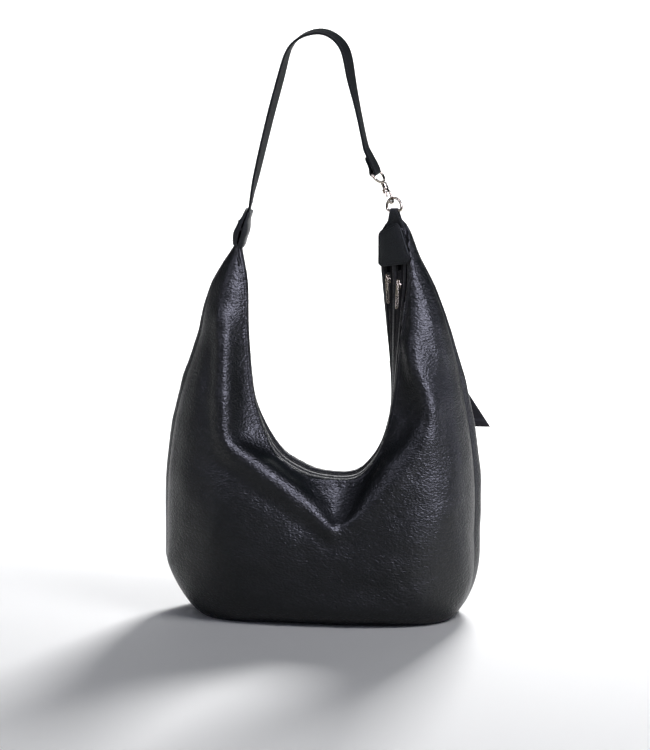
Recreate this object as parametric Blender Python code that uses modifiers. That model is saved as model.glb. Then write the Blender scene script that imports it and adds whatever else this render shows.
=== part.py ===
"""Hobo bag: crescent leather body with two zipped compartments, a shoulder strap
and a swivel clasp.

Lengths are in millimetres and become metres when a mesh is made.  +X is the
wearer's right-hand side seen from the front, -Y is the front, +Z is up, and the
origin is under the middle of the bag's outline, on the surface it stands on.
"""
import math

import bmesh
import bpy
import numpy as np
from mathutils import Matrix, Vector

MM = 0.001
COLLECTION = "hobo_bag"

# Driving dimensions
STAND = np.array([-1.3, -0.1, 0.0])    # brings the middle of the outline over the origin
LEATHER = 1.6                          # bonded leather with its backing
LINING = 0.8
PLY_GAP = 0.4                          # air between two layers that touch
SEAM_HALF_GAP = 0.4                    # each panel stops this far short of the seam plane
BACK_FULLNESS = 0.05                   # how much wider the back panel's flank swells

ZIP_TEETH_WIDTH = 2.2                  # one row of coil teeth
ZIP_SLOT = 1.0                         # space between the two rows
ZIP_TAPE_SHARE = 0.075                 # visible tape beside a row, as a share of the gusset
FRONT_ZIP = 0.30                       # zip centre lines across the gusset
BACK_ZIP = 0.72
FRONT_ZIP_STOP = 39.5                  # stations of the closed sliders along the gusset
BACK_ZIP_STOP = 39.95
SLIDER_LENGTH = 11.0
SLIDER_WIDTH = 7.6
SLIDER_PLATE = 1.1
SLIDER_POST = 0.5
CROWN_UP = 3.05                        # from the zip's line to the puller's hinge line
CROWN_BACK = 1.6
PULLER_LENGTH = 31.0
PULLER_WIDTH = 5.0
PULLER_THICK = 1.0
PULLER_HANG = 0.035                    # slope of the hanging puller off its zip

STRAP_WIDTH = 28.0
STRAP_THICK = 2.8
WIRE = 1.3                             # radius of the ring's and the clasp's wire

# Stations of the front panel from the left horn's tip to the right one.  Each runs
# from the opening edge over the ridge fold and the wall to the side seam or, along
# the bottom, to the middle of the base.
FRONT = [
    # opening edge        inner facet          ridge                upper wall
    # lower wall          flank or base edge   seam
    [(-89.5, -7, 456), (-91, -9, 456), (-93.5, -10, 456), (-96.5, -9.5, 455),
     (-99, -8, 454), (-101, -5, 454), (-101.5, 0, 454)],
    [(-88, -14, 411), (-95, -19, 411), (-104, -22, 411), (-113, -21, 410),
     (-121, -16, 408), (-127, -8, 407), (-128, 0, 407)],
    [(-86, -19, 369), (-99, -27, 371), (-115, -32, 372), (-125, -29, 369),
     (-133, -22, 367), (-139, -10, 365), (-140, 0, 365)],
    [(-84, -23, 330), (-98, -32, 331), (-113, -41, 332), (-127, -37, 330),
     (-139, -28, 328), (-148, -12, 325), (-150, 0, 325)],
    [(-80, -26, 285), (-96, -37, 287), (-112, -49, 289), (-131, -44, 286),
     (-149, -34, 283), (-163, -15, 279), (-166, 0, 278)],
    [(-73, -28, 250), (-92, -41, 249), (-112, -55, 247), (-135, -50, 240),
     (-157, -38, 232), (-175, -17, 224), (-179, 0, 220)],
    [(-58, -30, 209), (-82, -45, 212), (-106, -60, 214), (-134, -57, 193),
     (-160, -44, 174), (-182, -19, 154), (-187, 0, 147)],
    [(-42, -31, 191), (-55, -47, 191), (-68, -63, 187), (-113, -67, 156),
     (-151, -53, 122), (-181, -24, 86), (-188, 0, 77)],
    [(-29, -31.5, 183), (-37, -49, 177), (-45, -65, 168), (-95, -72, 126),
     (-140, -60, 86), (-177, -30, 57), (-185, 0, 52)],
    [(-13, -32, 176), (-16, -50, 163), (-20, -66, 147), (-62, -75, 98),
     (-100, -70, 48), (-134, -46, 5), (-150, 0, 0)],
    [(6, -32, 172.5), (5, -51, 154), (4, -68, 129), (-20, -76, 88),
     (-45, -74, 42), (-64, -60, 2), (-78, 0, 0)],
    [(27, -32, 171), (26, -52, 146), (24, -69, 115), (22, -76, 82),
     (20, -75, 40), (18, -64, 2), (16, 0, 0)],
    [(44, -32, 174), (46, -52, 158), (50, -68, 138), (68, -76, 90),
     (88, -73, 42), (99, -58, 2), (110, 0, 0)],
    [(58, -31, 186), (66, -48, 182), (76, -65, 172), (104, -74, 120),
     (130, -66, 58), (148, -42, 6), (158, 0, 0)],
    [(70, -30, 206), (83, -46, 206), (98, -62, 202), (128, -68, 156),
     (155, -57, 100), (175, -30, 52), (181, 0, 42)],
    [(80, -29, 236), (101, -43, 238), (124, -57, 236), (147, -58, 194),
     (167, -46, 150), (180, -20, 108), (182.5, 0, 95)],
    [(87, -28, 273), (107, -40, 274), (130, -50, 271), (150, -49, 240),
     (168, -38, 208), (181, -17, 165), (183, 0, 148)],
    [(90.5, -27, 304), (104, -37, 304), (119, -46, 303), (141, -42, 285),
     (159, -32, 262), (174, -14, 230), (177.5, 0, 214)],
    [(94.5, -24.2, 341), (103, -33, 341), (113, -40, 341), (131, -36, 334),
     (148, -27, 318), (160, -12, 300), (164, 0, 292)],
    [(98.5, -21.4, 378), (105, -28, 379), (112, -31, 379), (124, -29, 377),
     (134, -22, 373), (142, -10, 368), (144, 0, 367)],
    [(102.5, -18.6, 415), (106, -22, 416), (110, -23, 416), (115, -21, 416),
     (120, -16, 415), (124, -8, 414), (125, 0, 414)],
    [(100, -14.5, 446), (102, -16.5, 446), (104.5, -17, 446), (107, -15, 446),
     (109, -12, 445), (111, -6, 445), (111.5, 0, 445)],
    [(95, -12, 468), (97, -13, 468), (99, -13, 468), (101, -11.5, 467),
     (102.5, -9, 467), (103.5, -5, 466), (104, 0, 466)],
]

# The back panel's opening edge, station for station.
BACK_EDGE = [
    (-91.5, 8, 456), (-93, 13, 411), (-93, 18, 369), (-91, 22, 330), (-87, 27, 276),
    (-79, 29, 242), (-61, 31, 207), (-44, 32, 187), (-30, 32.5, 179), (-13, 33, 171),
    (6, 33, 167.5), (25, 33, 167), (42, 33, 172), (56, 33, 186), (68, 33, 206),
    (76.5, 32.5, 235), (79.5, 32, 262), (78, 29, 298), (75, 24, 334), (72, 19, 370),
    (69, 14, 406), (67, 9, 434), (67, 5, 459),
]

# Centre line of the shoulder strap, from the collar to the fold round the clasp's eye,
# with the turn of its width about its own run in degrees.
STRAP_PATH = [
    ((-86.5, 0, 489), 0), ((-83, 0, 507), 0), ((-77.5, 0, 532), 0), ((-65.5, 0, 582), 0),
    ((-56.5, 0, 617), 0), ((-47.5, 0, 650), 2), ((-40, 0, 675), 4), ((-28, 0, 690), 6),
    ((-10, 0, 697.5), 6), ((6, 0, 696.5), 8), ((19, 0, 688), 12), ((28, 0, 673), 16),
    ((33, 0, 648), 15), ((38.5, 0, 622), 8), ((45, 0, 592), 4), ((50.5, 0, 566), 12),
    ((54.5, 0, 550), 22),
]
STRAP_END = np.array([62.0, 0.0, 534.0])    # middle of the eye's bar
STRAP_RETURN = 21.0                          # the turned-back end
# Rounded foot: distance up the strap and half width, inside a circle about the pivot.
STRAP_FOOT = [(0.0, 3.6), (3.0, 8.6), (7.0, 12.0), (11.0, 13.5), (14.5, 14.0)]

CLASP_AXIS = np.array([0.403, -0.16, -0.90])  # from the swivel barrel down to the jaw
JAW_SIDE = np.array([0.32, 0.94, -0.045])     # towards the jaw's back, away from its gate
RING_BAR = np.array([85.5, -7.0, 491.0])     # middle of the D-ring's straight bar
RING_LINE = np.array([0.903, -0.421, 0.08])  # along the bar
RING_LEAN = np.array([-0.10, 0.06, 1.0])     # way that the ring stands up
RING_PULL = (-4.5, 12.2)                     # where the clasp bears on the arch
RING_SPAN = 19.0
RING_RISE = 13.5

# Right horn's patch: upper and lower edge ends, back side first.
PATCH_TOP = [(67.0, 3.5, 463), (93.0, -13.5, 477)]
PATCH_BOTTOM = [(65.5, 7.5, 420), (105.0, -19.5, 434)]

TAIL_HEM = np.array([172.5, 58.5, 220.0])    # middle of the tail's lower edge
TAIL_SLANT = 33.0                            # degrees from upright, in the plane of the back
TAIL_WIDTH = 36.0
TAIL_LENGTH = 112.0


# ---------------------------------------------------------------- scene and materials

for old in list(bpy.data.objects):
    bpy.data.objects.remove(old, do_unlink=True)

bag = bpy.data.collections.new(COLLECTION)
cutters = bpy.data.collections.new("cutters")
bpy.context.scene.collection.children.link(bag)
bpy.context.scene.collection.children.link(cutters)

FINISHES = {
    "pebbled_leather": ((0.018, 0.018, 0.022), 0.42, 0.0),
    "smooth_leather": ((0.022, 0.023, 0.026), 0.50, 0.0),
    "strap_leather": ((0.020, 0.020, 0.022), 0.55, 0.0),
    "lining_cloth": ((0.030, 0.030, 0.034), 0.80, 0.0),
    "zip_tape": ((0.012, 0.012, 0.014), 0.85, 0.0),
    "zip_coil": ((0.020, 0.020, 0.022), 0.45, 0.0),
    "webbing": ((0.014, 0.014, 0.016), 0.75, 0.0),
    "nickel": ((0.62, 0.60, 0.57), 0.22, 1.0),
}


def finish(name):
    """The shared Principled material of one finish."""
    material = bpy.data.materials.get(name)
    if material is None:
        colour, roughness, metallic = FINISHES[name]
        material = bpy.data.materials.new(name)
        material.use_nodes = True
        shader = material.node_tree.nodes["Principled BSDF"]
        shader.inputs["Base Color"].default_value = (*colour, 1.0)
        shader.inputs["Roughness"].default_value = roughness
        shader.inputs["Metallic"].default_value = metallic
    return material


def add_part(name, mesh, finish_name, origin=None, parent=None):
    """Put a mesh into the bag's collection with its origin on its joint's axis."""
    mesh.materials.clear()
    mesh.materials.append(finish(finish_name))
    part = bpy.data.objects.new(name, mesh)
    bag.objects.link(part)
    if origin is not None:
        place = Vector(metres(origin))
        mesh.transform(Matrix.Translation(-place))
        part.location = place
    if parent is not None:
        part.parent = parent
        part.matrix_parent_inverse = parent.matrix_basis.inverted()
    return part


def metres(points):
    """Millimetre points of the design as metres about the origin."""
    return (np.asarray(points, float) + STAND) * MM


# ---------------------------------------------------------------- curves and lofts

def smooth(points, per_span):
    """Catmull-Rom curve through the points, per_span steps between each pair."""
    points = np.asarray(points, float)
    ends = np.vstack([2 * points[0] - points[1], points, 2 * points[-1] - points[-2]])
    t = (np.arange(per_span) / per_span)[:, None]
    pieces = []
    for a, b, c, d in zip(ends[:-3], ends[1:-2], ends[2:-1], ends[3:]):
        pieces.append(0.5 * (2 * b + (c - a) * t + (2 * a - 5 * b + 4 * c - d) * t ** 2
                             + (3 * b - a - 3 * c + d) * t ** 3))
    return np.vstack(pieces + [points[-1:]])


def smooth_grid(rows, along, across):
    """Smooth a table of stations in both directions."""
    columns = np.stack([smooth(row, across) for row in np.asarray(rows, float)])
    return np.stack([smooth(columns[:, j], along) for j in range(columns.shape[1])], axis=1)


def unit(vectors):
    return vectors / np.linalg.norm(vectors, axis=-1, keepdims=True)


def grid_normals(grid):
    """Normal at each point of a grid, from its two directions."""
    return unit(np.cross(np.gradient(grid, axis=0), np.gradient(grid, axis=1)))


def mesh_from(name, points, faces):
    mesh = bpy.data.meshes.new(name)
    mesh.from_pydata([tuple(p) for p in metres(points)], [], faces)
    mesh.update()
    work = bmesh.new()
    work.from_mesh(mesh)
    bmesh.ops.recalc_face_normals(work, faces=work.faces)
    work.to_mesh(mesh)
    work.free()
    return mesh


def shell(name, outer, inner):
    """Closed wall between two grids of the same size, its cells split the same way on
    both faces so that nested walls never touch."""
    rows, columns = outer.shape[:2]
    number = np.arange(rows * columns).reshape(rows, columns)
    skin = []
    for i in range(rows - 1):
        for j in range(columns - 1):
            a, b, c, d = number[i, j], number[i + 1, j], number[i + 1, j + 1], number[i, j + 1]
            skin += [(a, b, c), (a, c, d)]
    back = rows * columns
    faces = skin + [tuple(back + k for k in reversed(face)) for face in skin]
    rim = list(number[0, :]) + list(number[1:, -1]) + list(number[-1, -2::-1])
    rim += list(number[-2:0:-1, 0])
    for a, b in zip(rim, rim[1:] + rim[:1]):
        faces.append((a, b, b + back, a + back))
    points = np.vstack([outer.reshape(-1, 3), inner.reshape(-1, 3)])
    return mesh_from(name, points, [tuple(int(k) for k in face) for face in faces])


def loft(name, sections):
    """Closed solid through a run of closed sections with the same number of points."""
    sections = np.asarray(sections, float)
    count, size = sections.shape[:2]
    faces = []
    for i in range(count - 1):
        for j in range(size):
            k = (j + 1) % size
            faces.append((i * size + j, i * size + k, (i + 1) * size + k, (i + 1) * size + j))
    faces.append(tuple(range(size)))
    faces.append(tuple((count - 1) * size + j for j in reversed(range(size))))
    return mesh_from(name, sections.reshape(-1, 3), faces)


def bar(name, left, right, up, low, high):
    """Flat bar between two edge lines, from low to high along the up directions."""
    sections = np.stack([left + up * low, right + up * low,
                         right + up * high, left + up * high], axis=1)
    return loft(name, sections)


def wire_mesh(name, points, radius, cyclic=False, sides=2):
    """Round wire along a run of points, with its caps welded."""
    curve = bpy.data.curves.new(name, "CURVE")
    curve.dimensions = "3D"
    curve.bevel_depth = radius * MM
    curve.bevel_resolution = sides
    curve.use_fill_caps = True
    spline = curve.splines.new("POLY")
    spline.points.add(len(points) - 1)
    for target, point in zip(spline.points, metres(points)):
        target.co = (*point, 1.0)
    spline.use_cyclic_u = cyclic
    return welded_mesh(name, curve)


def welded_mesh(name, curve):
    """A curve object's evaluated mesh with its loose caps merged."""
    holder = bpy.data.objects.new(name, curve)
    bpy.context.scene.collection.objects.link(holder)
    view = bpy.context.evaluated_depsgraph_get()
    mesh = bpy.data.meshes.new_from_object(holder.evaluated_get(view))
    bpy.data.objects.remove(holder, do_unlink=True)
    work = bmesh.new()
    work.from_mesh(mesh)
    bmesh.ops.remove_doubles(work, verts=work.verts, dist=0.00001)
    bmesh.ops.recalc_face_normals(work, faces=work.faces)
    work.to_mesh(mesh)
    work.free()
    return mesh


def box_mesh(name, size, frame):
    """A cuboid of the given size in millimetres, set in a frame of metres."""
    work = bmesh.new()
    bmesh.ops.create_cube(work, size=MM)
    bmesh.ops.scale(work, vec=size, verts=work.verts)
    bmesh.ops.transform(work, matrix=frame, verts=work.verts)
    mesh = bpy.data.meshes.new(name)
    work.to_mesh(mesh)
    work.free()
    return mesh


def frame_at(point, x_axis, z_axis):
    """Matrix whose X and Z axes follow the two directions, at a design point."""
    z = Vector(z_axis).normalized()
    y = z.cross(Vector(x_axis)).normalized()
    x = y.cross(z)
    turn = Matrix((x, y, z)).transposed().to_4x4()
    return Matrix.Translation(Vector(metres(point))) @ turn


def united(name, meshes, operation="UNION"):
    """Join the meshes, or cut the later ones from the first, into one mesh."""
    body = bpy.data.objects.new(name, meshes[0])
    cutters.objects.link(body)
    tools = []
    for number, mesh in enumerate(meshes[1:]):
        tool = bpy.data.objects.new(f"{name}_tool_{number}", mesh)
        cutters.objects.link(tool)
        tools.append(tool)
        cut = body.modifiers.new(tool.name, "BOOLEAN")
        cut.operation = operation
        cut.solver = "EXACT"
        cut.object = tool
    view = bpy.context.evaluated_depsgraph_get()
    mesh = bpy.data.meshes.new_from_object(body.evaluated_get(view))
    for used in tools + [body]:
        bpy.data.objects.remove(used, do_unlink=True)
    return mesh


# ---------------------------------------------------------------- leather panels and linings

def panel_grid(rows, side):
    """Smoothed panel surface, standing on the ground and stopped short of the seam."""
    grid = smooth_grid(rows, 1, 2)
    grid[..., 2] = np.maximum(grid[..., 2], 0.0)
    if side < 0:
        grid[..., 1] = np.minimum(grid[..., 1], -SEAM_HALF_GAP)
    else:
        grid[:, -1, 1] = SEAM_HALF_GAP
    return grid


def inward(grid, depth):
    """The surface moved inward by depth, its seam edge kept in the seam's plane."""
    normals = grid_normals(grid)
    middle = normals[len(normals) // 2, -1]
    if middle[2] > 0:
        normals = -normals
    normals[:, -1, 1] = 0.0
    return grid - unit(normals) * depth


def back_rows():
    """The back panel's stations: the front's mirrored and eased to its own opening edge."""
    ease = np.linspace(1.0, 0.0, len(FRONT[0])) ** 1.5
    swell = np.array([0.0, 0.0, 0.15, 0.4, 0.8, 1.0, 0.0]) * BACK_FULLNESS
    rows = []
    for station, edge in zip(FRONT, BACK_EDGE):
        mirrored = np.array(station, float) * (1, -1, 1)
        shift = np.array(edge) - mirrored[0]
        row = mirrored + ease[:, None] * shift
        row[:, 0] *= 1 + swell * min(1.0, abs(station[2][1]) / 45.0)
        rows.append(row)
    return rows


front_grid = panel_grid(FRONT, -1)
back_grid = panel_grid(back_rows(), 1)

for side_name, grid in (("front", front_grid), ("back", back_grid)):
    skin = shell(f"{side_name}_panel", grid, inward(grid, LEATHER))
    add_part(f"{side_name}_panel", skin, "pebbled_leather")
    lining_skin = inward(grid, LEATHER + PLY_GAP)[1:-1, 1:]
    lining_face = inward(grid, LEATHER + PLY_GAP + LINING)[1:-1, 1:]
    add_part(f"{side_name}_lining", shell(f"{side_name}_lining", lining_skin, lining_face),
             "lining_cloth")


# ---------------------------------------------------------------- zipped gusset

front_rail = smooth([row[0] for row in FRONT], 2)
back_rail = smooth(BACK_EDGE, 2)
gusset_line = unit(back_rail - front_rail)
gusset_width = np.linalg.norm(back_rail - front_rail, axis=1)
gusset_run = unit(np.gradient((front_rail + back_rail) / 2, axis=0))
gusset_up = unit(np.cross(gusset_run, gusset_line))
squeeze = np.minimum(1.0, gusset_width / 36.0)


def across(distance):
    """Line along the gusset at a distance from its front edge."""
    return front_rail + gusset_line * distance[:, None]


def gusset_strip(name, start, stop, low, high, finish_name, first=1, last=-1):
    """One strip of the gusset between two distances from its front edge."""
    part = slice(first, last)
    strip = bar(name, across(start)[part], across(stop)[part], gusset_up[part], low, high)
    add_part(name, strip, finish_name)


EDGE_LAP = LEATHER + PLY_GAP
BACK_LAP = 1.6                          # the back panel folds sharply under its edge
row_half = (ZIP_SLOT / 2 + ZIP_TEETH_WIDTH) * squeeze
tape_width = ZIP_TAPE_SHARE * gusset_width
zip_reach = row_half + tape_width + 2 * PLY_GAP

gusset_strip("front_zip_facing", np.full_like(gusset_width, EDGE_LAP),
             FRONT_ZIP * gusset_width - zip_reach, -1.2, 0.0, "pebbled_leather", 2)
gusset_strip("centre_zip_strip", FRONT_ZIP * gusset_width + zip_reach,
             BACK_ZIP * gusset_width - zip_reach, -1.2, 0.0, "pebbled_leather", 2)
gusset_strip("back_zip_facing", BACK_ZIP * gusset_width + zip_reach,
             gusset_width - EDGE_LAP - BACK_LAP, -1.2, 0.0, "pebbled_leather", 2)

TEETH_FIRST, TEETH_LAST = 3, -4
for zip_name, share in (("front_zip", FRONT_ZIP), ("back_zip", BACK_ZIP)):
    middle = share * gusset_width
    for side_name, sign in (("front", -1), ("back", 1)):
        near = middle + sign * ZIP_SLOT / 2 * squeeze
        far = middle + sign * row_half
        gusset_strip(f"{zip_name}_teeth_{side_name}", np.minimum(near, far),
                     np.maximum(near, far), -1.7, 0.1, "zip_coil", TEETH_FIRST, TEETH_LAST)
        near = middle + sign * (row_half + PLY_GAP)
        far = middle + sign * (row_half + PLY_GAP + tape_width)
        gusset_strip(f"{zip_name}_tape_{side_name}", np.minimum(near, far),
                     np.maximum(near, far), -1.1, -0.5, "zip_tape", 2)


# ---------------------------------------------------------------- centre divider

def divider_rows():
    """The cloth wall between the compartments: gusset to seam, station by station."""
    seams = np.array([row[-1] for row in FRONT], float)
    tops = (np.array([row[0] for row in FRONT], float) + np.array(BACK_EDGE, float)) / 2
    reach = seams - tops
    length = np.linalg.norm(reach, axis=1, keepdims=True)
    top = tops + reach * (5.0 / length)
    foot = tops + reach * (1 - 7.5 / length)
    foot[:, 2] = np.maximum(foot[:, 2], 6.0)
    rows = [[a, a + (b - a) / 3, a + (b - a) * 2 / 3, b] for a, b in zip(top, foot)]
    return np.array(rows)[2:-3]


divider = smooth_grid(divider_rows(), 1, 1)
divider_side = np.array([0.0, 0.5, 0.0])
add_part("centre_divider", shell("centre_divider", divider - divider_side,
                                 divider + divider_side), "lining_cloth")


# ---------------------------------------------------------------- zip sliders and pullers

def run_point(share, place):
    """Point, run and up direction of a zip line at a fractional station."""
    low = int(math.floor(place))
    t = place - low
    line = across(share * gusset_width)
    point = line[low] * (1 - t) + line[low + 1] * t
    run = unit(line[low] - line[low + 1])
    up = unit(gusset_up[low] * (1 - t) + gusset_up[low + 1] * t)
    return point, run, unit(up - run * float(np.dot(up, run)))


def slider_mesh(name, frame):
    """Two plates held by a thin middle post, with a crown loop for the puller."""
    def block(size, centre):
        return box_mesh(name, size, frame @ Matrix.Translation(Vector(centre) * MM))
    top = block((SLIDER_LENGTH, SLIDER_WIDTH, SLIDER_PLATE), (0, 0, 1.5))
    foot = block((SLIDER_LENGTH, SLIDER_WIDTH, SLIDER_PLATE), (0, 0, -3.1))
    post = block((3.0, SLIDER_POST, 4.4), (-3.6, 0, -0.8))
    legs = [block((1.2, 1.6, 3.0), (x, 0, 3.1)) for x in (-3.2, 3.2)]
    crown = block((8.0, 1.9, 1.0), (0, 0, 4.6))
    return united(name, [top, foot, post, *legs, crown])


def puller_mesh(name, frame):
    """Flat tab: a ring end round the crown and a long slot near its tip."""
    curve = bpy.data.curves.new(name, "CURVE")
    curve.dimensions = "2D"
    curve.fill_mode = "BOTH"
    curve.extrude = PULLER_THICK / 2 * MM

    def outline(x_low, x_high, half_width, corner):
        points = []
        for cx, cy, start in ((x_high - corner, half_width - corner, 0),
                              (x_low + corner, half_width - corner, 90),
                              (x_low + corner, corner - half_width, 180),
                              (x_high - corner, corner - half_width, 270)):
            for step in range(4):
                angle = math.radians(start + 30 * step)
                points.append((cx + corner * math.cos(angle), cy + corner * math.sin(angle)))
        spline = curve.splines.new("POLY")
        spline.points.add(len(points) - 1)
        for target, (x, y) in zip(spline.points, points):
            target.co = (x * MM, y * MM, 0.0, 1.0)
        spline.use_cyclic_u = True

    outline(-PULLER_LENGTH + 0.6, 0.6, PULLER_WIDTH / 2, 1.6)
    outline(-6.2, -0.6, 1.4, 0.8)
    outline(-PULLER_LENGTH + 3.0, -15.5, 1.0, 0.9)
    mesh = welded_mesh(name, curve)
    mesh.transform(frame)
    return mesh


ZIPS = (("front_zip", FRONT_ZIP, FRONT_ZIP_STOP), ("back_zip", BACK_ZIP, BACK_ZIP_STOP))
for zip_name, share, station in ZIPS:
    point, zip_run, up = run_point(share, station)
    seat = frame_at(point, zip_run, up)
    crown = point + up * CROWN_UP - zip_run * CROWN_BACK
    slider = add_part(f"{zip_name}_slider", slider_mesh(f"{zip_name}_slider", seat), "nickel",
                      origin=point)
    hang = unit(zip_run + up * PULLER_HANG)
    face = unit(up - hang * float(np.dot(up, hang)))
    tab_frame = frame_at(crown, -hang, face)
    add_part(f"{zip_name}_puller", puller_mesh(f"{zip_name}_puller", tab_frame), "nickel",
             origin=crown, parent=slider)


# ---------------------------------------------------------------- patch over the zip ends

def patch_mesh():
    """Stitched leather patch: a plate a little proud of the gusset and the panel edges."""
    top = np.array(PATCH_TOP, float)
    bottom = np.array(PATCH_BOTTOM, float)
    shares = np.linspace(0, 1, 4)[:, None]
    rows = [bottom[0] + (top[0] - bottom[0]) * s for s in shares]
    ends = [bottom[1] + (top[1] - bottom[1]) * s for s in shares]
    grid = np.array([[a + (b - a) * t for t in np.linspace(0, 1, 5)]
                     for a, b in zip(rows, ends)]).reshape(4, 5, 3)
    out = unit(np.cross(ends[0] - rows[0], rows[-1] - rows[0]))
    if out[1] > 0:
        out = -out
    crown = np.sin(np.linspace(0, math.pi, 5))[None, :, None] * 1.5
    grid = grid + out * (2.0 + crown)
    return shell("end_patch", grid + out * 1.8, grid)


add_part("end_patch", patch_mesh(), "smooth_leather")


# ---------------------------------------------------------------- D-ring and its tab

ring_line = unit(RING_LINE)
ring_rise = unit(RING_LEAN - ring_line * float(np.dot(RING_LEAN, ring_line)))
contact = RING_BAR + ring_line * RING_PULL[0] + ring_rise * RING_PULL[1]


def ring_points():
    """A D: straight bar, rounded corners and an arched top."""
    half = RING_SPAN / 2
    arch = [(half * math.cos(math.radians(a)), RING_RISE * math.sin(math.radians(a)) ** 0.8)
            for a in range(12, 169, 12)]
    flat = [(-half + 0.4, -0.4), (-half / 2, -0.6), (0, -0.6), (half / 2, -0.6), (half - 0.4, -0.4)]
    return [RING_BAR + ring_line * x + ring_rise * y for x, y in arch + flat]


ring = add_part("horn_ring", wire_mesh("horn_ring", ring_points(), WIRE, cyclic=True), "nickel",
                origin=RING_BAR)

TAB_LENGTH = 20.0
TAB_PLY = 1.3


def tab_mesh():
    """Tapered loop: up the front, round the bar and down the back."""
    down = np.array([0.0, 0.0, -1.0])
    down = unit(down - ring_line * float(np.dot(down, ring_line)))
    out = unit(np.cross(ring_line, -down))
    if out[1] > 0:
        out = -out
    line = ring_line
    bend = WIRE + PLY_GAP + TAB_PLY / 2
    length = TAB_LENGTH
    path = [(length, 0.9), (length * 0.6, 1.4), (length * 0.25, bend)]
    path += [(-bend * math.sin(math.radians(a)), bend * math.cos(math.radians(a)))
             for a in (0, 45, 90, 135, 180)]
    path += [(length * 0.25, -bend), (length * 0.6, -1.4), (length, -0.9)]
    middle = RING_BAR - ring_rise * 0.6
    centres = np.array([middle + down * a + out * b for a, b in path])
    runs = unit(np.gradient(centres, axis=0))
    face = unit(np.cross(runs, line))
    spans = [5.0 + 7.0 * max(a, 0.0) / length for a, _ in path]
    sections = []
    for centre, normal, half in zip(centres, face, spans):
        side = line * half
        thick = normal * TAB_PLY / 2
        sections.append([centre - side - thick, centre + side - thick,
                         centre + side + thick, centre - side + thick])
    return loft("ring_tab", sections)


add_part("ring_tab", tab_mesh(), "smooth_leather")


# ---------------------------------------------------------------- swivel clasp

axis = unit(CLASP_AXIS)
jaw_side = unit(JAW_SIDE - axis * float(np.dot(JAW_SIDE, axis)))
jaw_face = unit(np.cross(axis, jaw_side))
JAW_CLEARANCE = 1.5
JAW_HALF = 6.4
JAW_LENGTH = 15.0
jaw_bottom = contact + axis * (2 * WIRE + JAW_CLEARANCE)
barrel_foot = jaw_bottom - axis * (JAW_LENGTH + 1.5)


def clasp_point(down, side, out=0.0):
    """Point of the clasp: down its axis from the barrel's foot, to its side and out."""
    return barrel_foot + axis * down + jaw_side * side + jaw_face * out


def turned(name, profile, base, up):
    """Solid of revolution from (radius, height) pairs about an axis."""
    mesh = bpy.data.meshes.new(name)
    mesh.from_pydata([(r * MM, 0, z * MM) for r, z in profile],
                     [(i, i + 1) for i in range(len(profile) - 1)], [])
    holder = bpy.data.objects.new(name, mesh)
    cutters.objects.link(holder)
    spin = holder.modifiers.new("turn", "SCREW")
    spin.steps = 12
    spin.render_steps = 12
    spin.use_merge_vertices = True
    spin.merge_threshold = 0.00001
    view = bpy.context.evaluated_depsgraph_get()
    solid = bpy.data.meshes.new_from_object(holder.evaluated_get(view))
    bpy.data.objects.remove(holder, do_unlink=True)
    solid.transform(frame_at(base, jaw_face, up))
    work = bmesh.new()
    work.from_mesh(solid)
    bmesh.ops.remove_doubles(work, verts=work.verts, dist=0.00001)
    bmesh.ops.recalc_face_normals(work, faces=work.faces)
    work.to_mesh(solid)
    work.free()
    return solid


BARREL = 9.0
barrel_profile = [(0, 2.5), (2.3, 2.5), (2.3, BARREL - 1.8), (1.5, BARREL - 1.8),
                  (1.5, BARREL), (3.2, BARREL), (3.8, BARREL - 0.8), (3.8, 1.2), (3.0, 0), (0, 0)]
barrel = turned("barrel", barrel_profile, barrel_foot, -axis)


def jaw_curve():
    """The hook from the barrel's foot round to its open tip."""
    shank = [(-0.8, 1.4), (0.8, 4.2), (3.2, JAW_HALF)]
    bend_start = JAW_LENGTH - 4.9
    angles = np.radians([0, 30, 60, 90, 120, 150, 172])
    sweep = [(bend_start + JAW_HALF * math.sin(a), JAW_HALF * math.cos(a)) for a in angles]
    return [clasp_point(a, b) for a, b in shank + sweep]


HINGE_DOWN, HINGE_SIDE = 2.6, -4.4
ears = []
for out in (-2.75, 2.75):
    middle = clasp_point(1.0, -2.8, out)
    ears.append(box_mesh("ear", (5.2, 5.6, 0.9), frame_at(middle, axis, jaw_face)))
bridge = box_mesh("bridge", (2.4, 3.4, 6.2), frame_at(clasp_point(-0.9, -1.4), axis, jaw_face))
hook = united("clasp_hook", [barrel, wire_mesh("jaw", jaw_curve(), WIRE), bridge, *ears])
clasp = add_part("clasp_hook", hook, "nickel", origin=barrel_foot)

eye_profile = [(0, 3.0), (1.9, 3.0), (1.9, BARREL - 2.4), (1.1, BARREL - 2.4),
               (1.1, BARREL + 2.4), (0, BARREL + 2.4)]
eye_post = turned("eye_post", eye_profile, barrel_foot, -axis)

# ---------------------------------------------------------------- shoulder strap

strap_spine = np.array([place for place, _ in STRAP_PATH], float)
strap_turn = np.array([[turn, 0, 0] for _, turn in STRAP_PATH], float)
spine = smooth(strap_spine, 2)
turn = np.radians(smooth(strap_turn, 2)[:, 0])
foot_rise, foot_half = np.array(STRAP_FOOT).T
length = np.concatenate([[0], np.cumsum(np.linalg.norm(np.diff(spine, axis=0), axis=1))])
foot = np.stack([np.interp(foot_rise, length, spine[:, k]) for k in range(3)], axis=1)
spine = np.vstack([foot, spine[2:]])
turn = np.concatenate([np.zeros(len(foot)), turn[2:]])
run = unit(np.gradient(spine, axis=0))
level = np.array([0.0, 1.0, 0.0]) - run * run[:, 1:2]
level = unit(level)
lean = unit(np.cross(run, level))
width_line = level * np.cos(turn)[:, None] + lean * np.sin(turn)[:, None]
if width_line[-1][0] < 0:
    width_line = level * np.cos(turn)[:, None] - lean * np.sin(turn)[:, None]
thick_line = unit(np.cross(run, width_line))

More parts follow.
